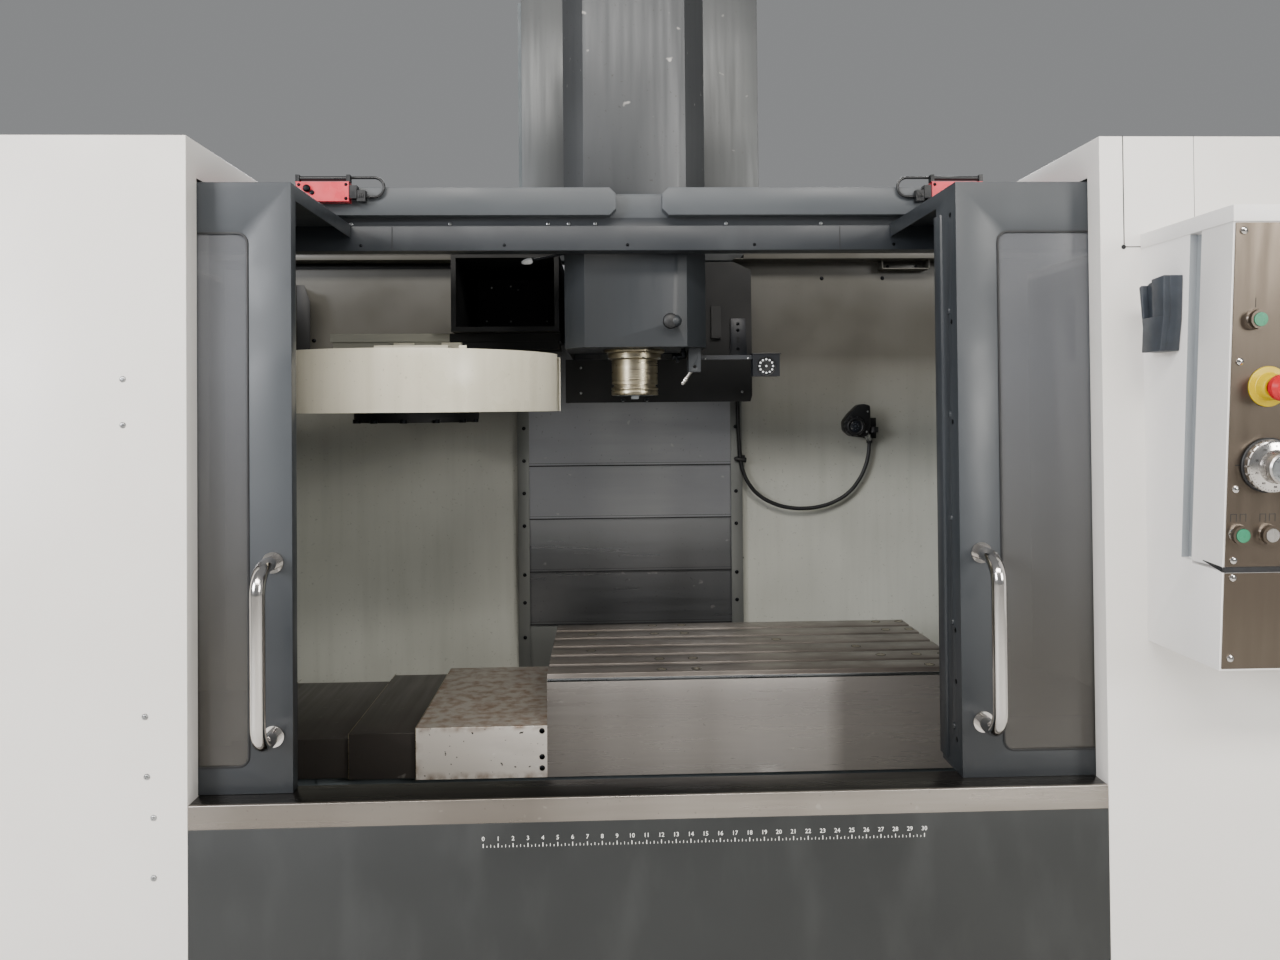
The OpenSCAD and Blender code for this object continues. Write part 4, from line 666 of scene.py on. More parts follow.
# %% Rounded copies of the main CAD parts
def soften(name, key, body, width):
    """Replaces a CAD node by a copy of its own mesh with rounded edges."""
    alone()
    o = nodes[name].copy()
    o.data = nodes[name].data.copy()
    o.parent = None
    bpy.context.scene.collection.objects.link(o)
    bpy.context.view_layer.objects.active = o
    o.select_set(True)
    bpy.ops.object.mode_set(mode="EDIT")
    bpy.ops.mesh.select_all(action="SELECT")
    bpy.ops.mesh.remove_doubles(threshold=0.00002)
    bpy.ops.mesh.dissolve_limited(angle_limit=math.radians(0.5))
    bpy.ops.object.mode_set(mode="OBJECT")
    o = finish_piece(o, name + "_finished", key, body, width, 2, 30)
    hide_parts(name)
    return o


for name, key, body, width in (
        ("front_sill", "sill", "machine", 0.7), ("front_apron", "apron", "machine", 0.7),
        ("left_enclosure", "white", "machine", 0.8), ("right_enclosure", "white", "machine", 0.8),
        ("header_beam", "header", "machine", 0.8), ("left_door", "door", "left_door_unit", 0.7),
        ("right_door", "door", "right_door_unit", 0.7), ("table", "iron", "table_unit", 0.8),
        ("table_apron", "apron_plate", "table_unit", 0.8),
        ("x_cover_inner", "cover", "table_unit", 0.8),
        ("x_cover_middle", "cover_dark", "middle_covers", 0.8),
        ("x_cover_outer", "cover_dark", "outer_covers", 0.8),
        ("head_front_cover", "head", "head", 0.9), ("changer_cover", "cream", "shuttle", 0.6),
        ("pendant_housing", "cap_white", "machine", 0.9),
        ("z_cover_frame", "tower", "machine", 0.6), ("control_cabinet", "cabinet", "machine", 1.0)):
    soften(name, key, body, width)
print("softened nodes:", len(made))

# %% [markdown]
# ## White side panels
# The sheet metal is held by button head screws. Gaps between panels are thin dark lines, built as
# narrow strips that stand a hair proud, with a small dot where a lock sits.

# %% Side panels
screws("left_panel_screws", "zinc", "machine",
       [(-899, 0, 1464), (-899, 0, 1386), (-863, 0, 893), (-860, 0, 792), (-849, 0, 723),
        (-849, 0, 622)],
       front, 5.5)
finish_piece([block((834.4, 836), (-0.5, 0.6), (1684, 1880)),
              block((835, 866), (-0.5, 0.6), (1683.4, 1685)),
              turned((834, 0, 1684), front, [(4, 0), (4, 1.2), (3, 1.8), (0, 1.8)], 14)],
             "right_panel_seam", "gap", "machine")
finish_piece([block((962.6, 963.4), (-0.3, 0.6), (1706, 1880))], "right_panel_fold", "gap",
             "machine", 0.1)
for side, sign, out in (("left", -1, left), ("right", 1, right)):
    body_x = sign * 1460
    edge = (body_x - 0.6, body_x + 0.6)
    seam = [block(edge, (d, d + 1.6), (620, 1760)) for d in (360, 1330)]
    seam += [block(edge, (360, 1331.6), (z, z + 1.6)) for z in (620, 1758.4)]
    seam += [block(edge, (1480, 1481.6), (60, 1860))]
    finish_piece(seam, side + "_access_seam", "gap", "machine")
    latches = []
    for z in (820, 1560):
        latches.append(turned((body_x, 1285, z), out, [(15, 0), (15, 3), (13, 4.5), (0, 4.5)]))
        latches.append(block((body_x + sign * 4, body_x + sign * 6.5), (1278, 1292),
                             (z - 2, z + 2)))
    finish_piece(latches, side + "_access_latches", "zinc", "machine", 0.4)
    screws(side + "_panel_side_screws", "zinc", "machine",
           [(body_x, d, z) for d in (60, 1440, 1700) for z in (160, 700, 1240, 1780)], out, 5.5)
    hinges = []
    for z in (760, 1190, 1620):
        hinges.append(bar((body_x + sign * 3, 352, z - 38), (body_x + sign * 3, 352, z + 38), 4.5,
                          16))
        hinges.append(block((body_x, body_x + sign * 2.5), (330, 374), (z - 36, z + 36)))
    finish_piece(hinges, side + "_access_hinges", "steel", "machine", 0.5)

# %% [markdown]
# ## Ruler printed on the apron
# A white printed inch scale runs under the sill: long marks with their numbers at every inch, and
# short marks at the half and quarter. The numbers are text turned into mesh, 0.3 mm thick.

# %% Apron ruler
ruler_x0, ruler_z, inch, inches = -296.0, 659, 25.4, 30
marks = []
for i in range(4 * inches + 1):
    x = ruler_x0 + i * inch / 4
    tall = 6.5 if i % 4 == 0 else 4.5 if i % 2 == 0 else 3.0
    wide = 1.3 if i % 4 == 0 else 0.9
    marks.append(block((x - wide / 2, x + wide / 2), (-0.25, 0.2), (ruler_z, ruler_z + tall)))
finish_piece(marks, "apron_ruler_marks", "white_print", "machine")


def number(text, at, size, tilt=0.0):
    """A small printed number as thin mesh, centred on a point and read from the front."""
    alone()
    bpy.ops.object.text_add()
    o = bpy.context.object
    o.data.body = text
    o.data.size = size / 1000
    o.data.align_x, o.data.align_y = "CENTER", "CENTER"
    o.data.extrude = 0.00015
    o.data.resolution_u = 2
    bpy.ops.object.convert(target="MESH")
    o.data.transform(Matrix.Rotation(math.pi / 2 + tilt, 4, "X"))
    o.data.transform(Matrix.Translation(pt(*at)))
    return o


finish_piece([number(str(i), (ruler_x0 + i * inch, -0.1, 673.5), 10.5) for i in range(inches + 1)],
             "apron_ruler_numbers", "white_print", "machine")
print("side panels and ruler made")

# %% [markdown]
# ## Header
# Seams show where the header's panels meet, small screws sit in the dark slot under the hung
# covers, and dark screws hold the lower face.

# %% Header details
finish_piece([block((x - 0.9, x + 0.9), (439.6, 440.6), (1754, 1806)) for x in (-543, 440)],
             "header_seams", "gap", "machine")
screws("header_slot_screws", "zinc", "machine",
       [(x, 470, 1818) for x in (-639, -422, -206, -160, -101, 191, 405, 620)], front, 4.5)
screws("header_lower_screws", "black_steel", "machine",
       [(x, 440, 1766) for x in (-610, -300, -30, 250, 560)], front, 3.6)

# %% [markdown]
# ## Door switches
# Each red switch has a black gland for its plug, screw heads at its corners, two knobs and a small
# round key lock. The right switch is the left one mirrored.

# %% Door switch details
for side, start, sign in (("left", -741, 1), ("right", 751, -1)):
    def sx(x):
        return start + sign * x
    finish_piece([turned((sx(24), 410, 1884), front, [(8, 0), (8, 2), (5, 5), (0, 5)]),
                  turned((sx(34), 414, 1876), front, [(5, 0), (5, 2), (0, 2)])],
                 side + "_switch_lock", "black_steel", "machine", 0.3)
    screws(side + "_switch_screws", "black_steel", "machine",
           [(sx(106), 414, 1893), (sx(106), 414, 1863), (sx(6), 414, 1893), (sx(6), 414, 1863)],
           front, 3.6)
    nut = [bar((sx(x0), 427, z), (sx(x1), 427, z), r, sides) for x0, x1, z, r, sides in (
        (113, 124, 1878, 11, 6), (124, 131, 1878, 9, 20), (132, 134.4, 1870, 10.5, 20),
        (136, 138.4, 1870, 10.5, 20), (140, 142.4, 1870, 10.5, 20))]
    finish_piece(nut, side + "_switch_gland", "socket", "machine", 0.4)
    finish_piece([bar((sx(x), 424, 1899), (sx(x), 424, 1914), 5, 12) for x in (2, 110)],
                 side + "_switch_knobs", "socket", "machine", 0.8)

# %% [markdown]
# ## Windows
# A rubber profile clips round the cut edge of each window opening. It is a rectangle whose corners
# are rounded in edit mode, then inset, emptied and extruded.

# %% Window seals
def rounded_frame(x, z, d, radius, width, depth):
    """A flat rounded frame of sheet or rubber in a plane of constant depth."""
    alone()
    mid = pt((x[0] + x[1]) / 2, d, (z[0] + z[1]) / 2)
    bpy.ops.mesh.primitive_plane_add(size=1, location=mid, rotation=(math.pi / 2, 0, 0))
    o = bpy.context.object
    o.scale = ((x[1] - x[0]) / 1000, (z[1] - z[0]) / 1000, 1)
    settle(o)
    bpy.ops.object.mode_set(mode="EDIT")
    bpy.ops.mesh.select_all(action="SELECT")
    bpy.ops.mesh.bevel(offset=radius / 1000, segments=8, affect="VERTICES")
    bpy.ops.mesh.select_all(action="SELECT")
    bpy.ops.mesh.inset(thickness=width / 1000)
    bpy.ops.mesh.delete(type="ONLY_FACE")
    bpy.ops.mesh.select_all(action="SELECT")
    bpy.ops.mesh.extrude_region_move(TRANSFORM_OT_translate={"value": (0, depth / 1000, 0)})
    bpy.ops.mesh.select_all(action="SELECT")
    bpy.ops.mesh.normals_make_consistent(inside=False)
    bpy.ops.object.mode_set(mode="OBJECT")
    return o


for side, x in (("left", (-1265, -705)), ("right", (626, 1186))):
    finish_piece(rounded_frame(x, (787, 1722), 43.6, 20, 3.5, 1.6), side + "_window_seal",
                 "rubber", side + "_door_unit", 0.5)
print("header, switches and windows made")

# %% [markdown]
# ## Column strips and plates
# Upright strips hold the sliding plates at both sides with dark screws. More screws hold the rear
# wall, and thin dark strips at each plate's folded lower lip are its painted shadow.

# %% Strip screws and wall screws
strip_z = (1350, 1255, 1160, 1065, 922, 841, 740)
screws("column_strip_screws", "black_steel", "machine",
       [(axis_x + s * 311, 1149, z) for s in (-1, 1) for z in strip_z], front, 5.5)
screws("rear_wall_screws", "black_steel", "machine",
       [(x, 1172, z) for x, z in ((-935, 1613), (-547, 1610), (-334, 1257), (-334, 701),
                                  (-334, 960), (567, 1790), (750, 1790), (318, 960), (318, 701),
                                  (-1120, 1780), (-1120, 700), (1120, 700), (1120, 1400))],
       front, 6)
plate_span, plate_d, plate_step = (axis_x - 297, axis_x + 297), 1153, 6
# Painted shadow: two thin dark strips along each plate's lower lip.
for k, (body, z) in enumerate((("head", 1237), ("plate_2", 1081.3), ("plate_3", 925.6),
                               ("plate_4", 769.9))):
    d = plate_d + plate_step * k
    finish_piece([block(plate_span, (d - 0.8, d + 0.4), (z + 0.5, z + 3.6)),
                  block(plate_span, (d - 0.5, d + 0.4), (z + 9, z + 9.8))],
                 "column_plate_lip_%d" % (k + 1), "gap", body, 0.2)

# %% [markdown]
# ## Ledge, wall brackets and hose clip
# A black seal, which also stands in as painted shade under the header, and a folded flange close
# the rear wall's top. Short folded brackets stand on the rear and left walls, and a black clip
# holds the hose where it starts to bend away from the strip.

# %% Brackets and clip
# Partly a seal, partly painted shade: a black strip along the rear wall's top edge.
finish_piece([block((-1192, -180), (1168, 1172), (1822, 1840.5))], "rear_wall_top_seal_and_shade", "black",
             "machine", 1.2)
flange_spans = ((-1190, -470), (322, 1190))
finish_piece([block(x, (1098, 1171.5), (1850, 1852)) for x in flange_spans]
             + [block(x, (1098, 1100), (1838, 1868)) for x in flange_spans],
             "rear_wall_flange", "wall", "machine", 0.6)
finish_piece([block((737, 879), (1128, 1172), (1811, 1814)),
              block((737, 740), (1128, 1172), (1811, 1838)),
              block((876, 879), (1128, 1172), (1811, 1838)),
              block((737, 879), (1168, 1172), (1811, 1838))],
             "rear_ledge_bracket", "wall", "machine", 0.6)
screws("ledge_bracket_screws", "black_steel", "machine", [(765, 1168, 1824), (851, 1168, 1824)],
       front, 5)
finish_piece([plate([(-963, 1100, 1581), (-924, 1100, 1581), (-924, 1100, 1720), (-940, 1100, 1767),
                     (-963, 1100, 1767)], (0, 3, 0)),
              block((-963, -960), (1100, 1172), (1581, 1767))],
             "left_wall_bracket", "black", "machine", 0.8)
finish_piece([bar((302, 1143, 1255), (330, 1143, 1251), 7.5, 20),
              block((296, 312), (1141, 1149), (1249, 1261)),
              bar((303, 1141, 1255), (303, 1136, 1255), 4, 6)],
             "hose_clip", "socket", "machine", 0.8)
finish_piece([turned((699, 1150, 1296), up,
                     [(6, 0), (9, 3), (9, 9), (7, 12), (7, 18), (6, 18)], 20),
              turned((306, 1143, 1468), down,
                     [(6, 0), (10, 0), (10, 10), (7, 14), (6, 22), (5, 22)], 20)],
             "hose_glands", "socket", "machine", 0.4)

# %% [markdown]
# ## Probe receiver
# A black housing with a thick round window, a ring of lugs, two screws and a plug for the hose. The
# ring is a turned profile, and the lugs are copies of one short bar.

# %% Receiver
outline = [(650, 1411), (668, 1413), (685, 1409), (686, 1350), (678, 1322), (660, 1316),
           (626, 1320), (608, 1336), (606, 1362), (622, 1384)]
shell = finish_piece(plate([(x, 1084, z) for x, z in outline], (0, 38, 0)), "receiver_shell",
                     "black", "receiver", 5, 3)
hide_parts("probe_receiver")
rx, rd, rz = 637, 1084, 1349
finish_piece([turned((699, 1150, 1302), up, [(5, -2), (8, 0), (8, 8), (6, 11), (0, 11)], 20),
              bar((696, 1140, 1309), (680, 1112, 1326), 7.5, 20),
              turned((684, 1119, 1322), (-0.47, -0.82, 0.48),
                     [(0, -3), (9.5, -3), (10, 0), (9.5, 5), (0, 5)], 6)],
             "receiver_connector", "zinc", "receiver", 0.5)
finish_piece([turned((rx, rd, rz), front,
                     [(29, -6), (29, 6), (26, 12), (22, 15), (19, 15), (17, 10), (0, 10)], 40),
              turned((rx, rd - 15, rz), front, [(24, -3), (24, 2), (21, 3), (19, 2)], 36)],
             "receiver_window_ring", "socket", "receiver", 0.5)
finish_piece(turned((rx, rd - 10, rz), front, [(17, 0), (14, 1.6), (8, 3), (0, 3.4)], 30),
             "receiver_lens", "lens", "receiver")
lugs = [(rx + 27 * math.cos(a), rd + 2, rz + 27 * math.sin(a))
        for a in (2 * math.pi * k / 10 for k in range(10))]
finish_piece(at_places(lambda p: bar(p, (p[0], rd - 12, p[2]), 3.6, 8), lugs),
             "receiver_ring_lugs", "socket", "receiver", 0.5)
screws("receiver_screws", "zinc", "receiver", [(677, 1084, 1391), (673, 1084, 1333)], front, 3)
leds = [turned((rx + 9 * math.cos(a), rd - 12.8, rz + 9 * math.sin(a)), front,
               [(1.8, 0), (1.2, 1), (0, 1.2)], 10)
        for a in spread(0, 2 * math.pi * 7 / 8, 8)]
finish_piece(leds + [turned((rx, rd - 13.2, rz), front, [(3, 0), (2, 1.2), (0, 1.5)], 14)],
             "receiver_leds", "plastic", "receiver")

# %% [markdown]
# ## Table
# The threaded holes of the table are closed by flush steel plugs with a dark edge. Three bolts sit
# on the inner cover's front and three on the table's right end. A thin strip of bright ground steel
# along the top of the front plate is a painted highlight of its edge.

# %% Table details
table_top = 838
plug_places = [(x, d, table_top) for x in (36, 112, 626, 686) for d in (432, 520, 760, 848)]
plug_places += [(x, d, table_top) for x, d in ((507, 600), (543, 520), (331, 680), (-120, 600),
                                               (-120, 760))]
plug = [(9.5, -0.6), (9.5, 0.35), (8.2, 0.6), (7.6, 0.15), (3.4, 0.15), (3.2, -0.4), (0, -0.4)]
hole_edge = [(11.5, -0.3), (11.5, 0.2), (9.6, 0.2), (9.6, -0.3)]
finish_piece(studs(plug, plug_places, up, 20), "table_hole_plugs", "spindle", "table_unit")
finish_piece(studs(hole_edge, plug_places, up, 20), "table_hole_edges", "gap", "table_unit")
screws("table_cover_bolts", "black_steel", "table_unit",
       [(-223, 405, 719), (-223, 405, 664), (-223, 405, 640)], front, 6)
screws("table_end_bolts", "black_steel", "table_unit",
       [(702, d, 790) for d in (480, 640, 800)], right, 6)
# Painted highlight: a bright steel strip along the front plate's top edge.
finish_piece([block((-211, 701), (405.4, 406.4), (822, 829.4))], "table_plate_highlight_strip", "ground",
             "table_unit", 0.3)

# %% [markdown]
# ## Telescoping covers
# Each cover slides on the next, with a thin steel wiper at its free end, on the front and on top.

# %% Cover edges
for name, body, x0, x1, top, d in (("inner", "table_unit", -492, -214, 730, 405),
                                   ("middle", "middle_covers", -636, -500, 717, 415),
                                   ("outer", "outer_covers", -885, -640, 704, 425)):
    wiper = [block((x0 - 0.3, x0 + 1.4), (d - 0.7, d + 0.8), (622, top + 0.6)),
             block((x0 - 0.3, x0 + 1.4), (d, d + 460), (top - 0.6, top + 0.5))]
    finish_piece(wiper, "cover_wiper_" + name, "spindle", body, 0.3)

# %% [markdown]
# ## Head, knob and spindle nose
# The nose is a ground steel cylinder with rings, a flange with screws and two drive keys below. The
# cover has a seam where its paint ends, a knob, and a thin air lever with a white tip on its left.

# %% Head details
spindle_d = 640
finish_piece([turned((axis_x, spindle_d, 1438.6), up,
                     [(45, -1), (54, -1), (56, 0.5), (56, 9), (55, 10), (55, 12), (56.2, 13),
                      (56.2, 17), (55, 18), (54.8, 18)], 64),
              turned((axis_x, spindle_d, 1471), up,
                     [(54.8, 0), (55.8, 0.4), (55.8, 2), (54.8, 2.4)], 64),
              turned((axis_x, spindle_d, 1525), up,
                     [(54.8, 0), (61, 0), (63, 2), (63, 12), (68, 13), (72, 15), (72, 24),
                      (54.8, 24)], 64)],
             "spindle_nose_rings", "spindle", "head", 0.3)
screws("spindle_flange_screws", "zinc", "head",
       [(axis_x + 64 * math.cos(a), spindle_d + 64 * math.sin(a), 1526.5)
        for a in spread(0.3, 0.3 + 2 * math.pi * 7 / 8, 8)],
       down, 4)
finish_piece([block(x, (632, 648), (1424, 1430))
              for x in ((axis_x - 33, axis_x - 24), (axis_x + 24, axis_x + 33))],
             "spindle_drive_keys", "black_steel", "spindle_shaft", 0.8)
screws("spindle_key_screws", "zinc", "spindle_shaft",
       [(axis_x + s * 28.5, spindle_d, 1424) for s in (-1, 1)], down, 3)
seam = [block((axis_x - 114, axis_x + 114), (504.5, 505.4), (1789, 1791))]
for s in (-1, 1):
    near, far = axis_x + s * 116, axis_x + s * 163
    seam.append(plate([(near, 504.8, 1789), (far, 531, 1789), (far, 531, 1791),
                       (near, 504.8, 1791)], (-s * 0.6, 1.0, 0)))
finish_piece(seam, "head_cover_seam", "gap", "head")
finish_piece([turned((66, 505, 1602), front,
                     [(15, -1), (15, 2), (9, 3), (7, 8), (7, 12), (15, 15), (18, 22), (16, 29),
                      (10, 32), (0, 33)], 32)],
             "head_cover_knob", "rubber", "head", 0.3)
finish_piece([bar((-250, 562, 1751), (-170, 562, 1768), 3.2, 14),
              bar((-176, 562, 1767), (-164, 562, 1769), 6, 14)],
             "head_air_lever", "black_steel", "head", 0.3)
finish_piece([turned((-248, 562, 1751.5), (-0.98, 0, -0.21),
                     [(3.4, 0), (6.5, 2), (7.5, 10), (5.5, 20), (2, 26), (0, 26)], 20)],
             "head_air_lever_tip", "led", "head", 0.3)
for name, s, out in (("head_cover_screws", -1, left), ("head_cover_screws_right", 1, right)):
    screws(name, "black_steel", "head",
           [(axis_x + s * 163, d, z) for d in (620, 820) for z in (1580, 1700)], out, 4.5)

# %% [markdown]
# ## Black guard behind the spindle
# The guard is folded sheet, held by three screws, with a slotted bracket on its right half. A small
# wedge stands 15 mm out of the guard's face.

# %% Guard details
wedge_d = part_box("head_lower_cover")[0].y * 1000 - front_y
guard_d = wedge_d + 15
print("guard face at", round(guard_d))
finish_piece([plate([(268, 999, 1655), (310, 999, 1655), (314, 999, 1548), (264, 999, 1548)],
                    (0, -2.5, 0)),
              block((268, 271), (988, 999), (1552, 1652))], "guard_bracket", "navy", "head", 0.6)
screws("guard_bracket_screws", "black_steel", "head",
       [(289, 996.5, 1640), (289, 996.5, 1622), (289, 996.5, 1570)], front, 4.5)
slots = [bar((289, 996.8, 1590 + k * 10), (289, 995.8, 1590 + k * 10), 4.5, 16) for k in range(2)]
finish_piece(slots, "guard_bracket_slot", "gap", "head")
screws("guard_screws", "zinc", "head",
       [(x, guard_d, z) for x, z in ((-150, 1520), (-150, 1450), (300, 1450))], front, 3.6)

# %% [markdown]
# ## Pendant
# The brushed plate leans back by 4.3 degrees, so everything on it is placed from its tilted plane.
# There is a bezel at each button, a key field, a screen in a frame, a yellow ring with a cone under
# the emergency stop, and a dial with ticks and the numbers of one turn.

# %% Pendant plane
lean = math.radians(4.3)
out_of_panel = (0, -math.cos(lean), -math.sin(lean))


def on_panel(x, z, lift=0.0):
    """A point on the plate's outer face, lifted along its normal, in mm."""
    d = -249 + (1706 - z) * math.tan(lean)
    return (x, d + lift * out_of_panel[1], z + lift * out_of_panel[2])


def panel_plate(x0, x1, z0, z1, low, high):
    """A flat plate on the leaning face from one height above it to another."""
    corners = [on_panel(x, z, low) for x, z in ((x0, z0), (x1, z0), (x1, z1), (x0, z1))]
    return plate(corners, tuple(v * (high - low) for v in out_of_panel))


# %% Panel fittings
panel_screws = ([(x, z) for x in (882, 1335) for z in (1667, 1470, 1275, 1165)]
                + [(1108, 1667), (1108, 1165)])
panel_screws += [(x, z) for x in (882, 1335) for z in (1138, 1012)]
head = [(6, -0.4), (6, 0.4), (5.4, 1.9), (3.4, 3.2), (1.2, 3.6), (0, 3.6)]
finish_piece(studs(head, [on_panel(x, z) for x, z in panel_screws], out_of_panel, 18),
             "panel_screws", "tube", "machine")
finish_piece([panel_plate(x - 3.2, x + 3.2, z - 0.6, z + 0.6, 3.3, 3.75) for x, z in panel_screws],
             "panel_screw_slots", "gap", "machine")
button_rings = [(904, 1534), (888, 1206), (934, 1206)]
bezel = [(10.4, 1), (15.5, 0), (15.5, 3), (14.6, 6), (13.4, 10), (12.2, 12), (11.2, 12),
         (10.6, 9), (10.4, 1)]
finish_piece(studs(bezel, [on_panel(x, z) for x, z in button_rings], out_of_panel, 36),
             "button_bezels", "tube", "machine")
finish_piece([turned(on_panel(927, 1432), out_of_panel,
                     [(13, 0), (31, 0), (31, 2.2), (30, 3), (22, 3), (21, 4), (20, 12),
                      (17, 17), (13.4, 17), (13, 0)], 48)],
             "estop_collar", "yellow", "machine", 0.3)
finish_piece([turned(on_panel(930, 1312), out_of_panel,
                     [(36, -0.2), (42.5, -0.2), (42.5, 3.5), (41, 5), (36.5, 5), (36, -0.2)], 56)],
             "dial_outer_ring", "socket", "machine", 0.3)
finish_piece([panel_plate(880, 889, 1311.3, 1312.7, 0.05, 0.3)], "dial_index_line", "black_print",
             "machine")
marks = []
for x, z in ((888, 1206), (934, 1206)):
    for side in (-1, 1):
        marks += [panel_plate(x + side * 3, x + side * 12, z + 30, z + 31, 0.05, 0.25),
                  panel_plate(x + side * 12 - 0.5, x + side * 12 + 0.5, z + 19, z + 31, 0.05, 0.25),
                  panel_plate(x + side * 3 - 0.5, x + side * 3 + 0.5, z + 19, z + 31, 0.05, 0.25)]
marks.append(panel_plate(903.5, 904.5, 1552, 1566, 0.05, 0.25))
finish_piece(marks, "button_bracket_marks", "black_print", "machine")

# %% [markdown]
# ## The dial's scale
# A jog dial has a hundred steps, so its silver rim carries a tick at every second step and a number
# at every tenth. The scale turns with the dial.

# %% Dial scale
dial = (930, 1312)
rim = [(26, 20.1), (35, 18.1), (39.4, 16.2), (39.4, 17.2), (35.5, 19.3), (26, 21.1), (26, 20.1)]
finish_piece(turned(on_panel(*dial), out_of_panel, rim, 72), "dial_rim", "tube", "dial")
finish_piece([turned(on_panel(*dial, 42), out_of_panel,
                     [(21.5, -0.3), (21.5, 0.5), (20, 1.1), (16.5, 1.1), (16, 0.4), (0, 0.4)],
                     48)], "dial_cap", "ground", "dial")
ticks, numbers = [], []
for k in range(50):  # one tick for two of the hundred steps
    a = 2 * math.pi * k / 50
    x, z = dial[0] + 36.6 * math.sin(a), dial[1] + 36.6 * math.cos(a)
    half = 1.7 if k % 5 == 0 else 1.0
    ends = [on_panel(x + s * half * math.sin(a), z + s * half * math.cos(a), 18.9) for s in (-1, 1)]
    ticks.append(bar(ends[0], ends[1], 0.28, 6))
for k in range(10):
    a = 2 * math.pi * k / 10
    at = on_panel(dial[0] + 30.8 * math.sin(a), dial[1] + 30.8 * math.cos(a), 20.5)
    numbers.append(number(str(10 * k), at, 5.2, tilt=lean))
finish_piece(ticks, "dial_ticks", "black_print", "dial")
finish_piece(numbers, "dial_numbers", "black_print", "dial", 0.0)
finish_piece([bar(on_panel(930, 1312 + 17, 42.6), on_panel(930, 1312 + 9, 42.6), 1.0, 10)],
             "dial_pointer", "black_print", "dial")

# %% [markdown]
# ## Screen, keys and gap
# The screen sits in a black frame behind the plate's window. Key caps are one rounded cap copied
# over the pads of the key field.

# %% Screen and keys
finish_piece(panel_plate(998, 1306, 1401, 1639, -1.9, -1.1), "screen_glass", "screen", "machine",
             0.2)
finish_piece([panel_plate(*sides, -1.1, 0.5) for sides in (
    (997.6, 1306.4, 1400.6, 1414), (997.6, 1306.4, 1626, 1639.4),
    (997.6, 1011, 1414, 1626), (1293, 1306.4, 1414, 1626))],
             "screen_frame", "socket", "machine", 0.3)
caps = [on_panel(1020 + 42 * i, 1202 + 34 * j, 2) for j in range(5) for i in range(7)]
finish_piece(at_places(lambda p: panel_plate(1020, 1046, 1202, 1221, 2, 3.6), caps), "key_caps",
             "keys", "machine", 0.9)
finish_piece([panel_plate(868, 1346, 1145.6, 1154.4, -1.9, -1.2),
              plate([(866.4, -206.5, 1146), (866.4, -206, 1154.4), (866.4, -158, 1158),
                     (866.4, -158, 1157)], (0.7, 0, 0))],
             "pendant_gap", "gap", "machine")
print("pendant fitted")

# %% [markdown]
# ## Side channels of the pendant
# A channel divides the rear body from the control unit on both sides. Grey strips on its floor and
# its wall stand in as painted shade in the channel.

# %% Channel strips
# Painted shade: grey strips that darken the channel's floor and wall on white paint.
channel_shade_strips = []
side_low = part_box("pendant_housing")[0].x * 1000 + 2
side_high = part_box("pendant_housing")[1].x * 1000 - 2
for x0, x1, floor_x in ((side_low + 0.4, side_low + 12.6, side_low + 12.4),
                        (side_high - 12.6, side_high - 0.4, side_high - 13.2)):
    channel_shade_strips += [plate([(floor_x, -101, 1155), (floor_x, -127, 1155), (floor_x, -167, 1679),
                      (floor_x, -139, 1679)], (0.8, 0, 0)),
               plate([(x0, -100.4, 1154), (x1, -100.4, 1154), (x1, -138.4, 1680),
                      (x0, -138.4, 1680)],
                     (0, -0.9, 0))]
finish_piece(channel_shade_strips, "pendant_channel_shade_strips", "channel_shade", "machine", 0.2)

# %% [markdown]
# ## Holster
# The moulded holster on the pendant's side has a pocket that is open at its top. Its walls are
# separate plates on one back plate, rounded together.

# %% Holster
def side_plate(x, outline, thick):
    """A plate that starts at x and grows by thick along x, from (d, z) corners."""
    return plate([(x, d, z) for d, z in outline], (thick, 0, 0))


holster_x, wall_x = 866, 844.5
holster = finish_piece([
    side_plate(holster_x, ((-52, 1494), (-56, 1536), (-47, 1606), (-60, 1612), (-120, 1618),
                           (-115, 1545), (-106, 1494)), -22),
    side_plate(wall_x, ((-52, 1494), (-56, 1536), (-54, 1552), (-118, 1552), (-115, 1538),
                        (-106, 1494)), -11),
    side_plate(wall_x, ((-86, 1551), (-84, 1615), (-120, 1618), (-118, 1551)), -11),
    side_plate(wall_x, ((-54, 1551), (-47, 1606), (-54, 1609), (-60, 1551)), -11)],
    "pendant_holster", "plastic", "machine", 1.4, 3)
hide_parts("tool_holster")
finish_piece([bar((844.6, -78, 1562), (843.8, -78, 1562), 3, 14),
              side_plate(843.9, ((-66, 1612), (-76, 1612), (-71, 1590)), 0.7)],
             "holster_hole", "gap", "machine")

# %% [markdown]
# ## Lamp, fittings and changer
# The lamp's round window holds a ring of small lenses. Black fittings feed the nozzle. The band of
# the carousel has a vertical seam and a small tab, and the changer box has loose screws inside.

# %% Lamp and nozzle fittings
lx0, lx1 = (v.x * 1000 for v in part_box("lamp_arm"))
lamp = (lx1 - 32, 596, 1504)
finish_piece([turned(lamp, front,
                     [(20.5, -2), (23.5, -2), (23.5, 0.8), (22.5, 1.6), (21, 1.2), (20.5, -1),
                      (20.5, -2)], 44),
              turned(lamp, front, [(13, -3.2), (13, 0.2), (12, 0.6), (10, 0.2), (0, 0.2)], 36)],
             "lamp_bezel", "socket", "lamp")
dots = []
for r, turn in [(16, 30 * k) for k in range(12)] + [(0, 0)]:
    a = math.radians(turn)
    dots.append((lamp[0] + r * math.cos(a), lamp[1] - (0.2 if r else 0.4),
                 lamp[2] + r * math.sin(a)))
finish_piece(studs([(2.7, -0.2), (2.2, 1.0), (1.0, 1.6), (0, 1.7)], dots, front, 14),
             "lamp_lenses", "led", "lamp")
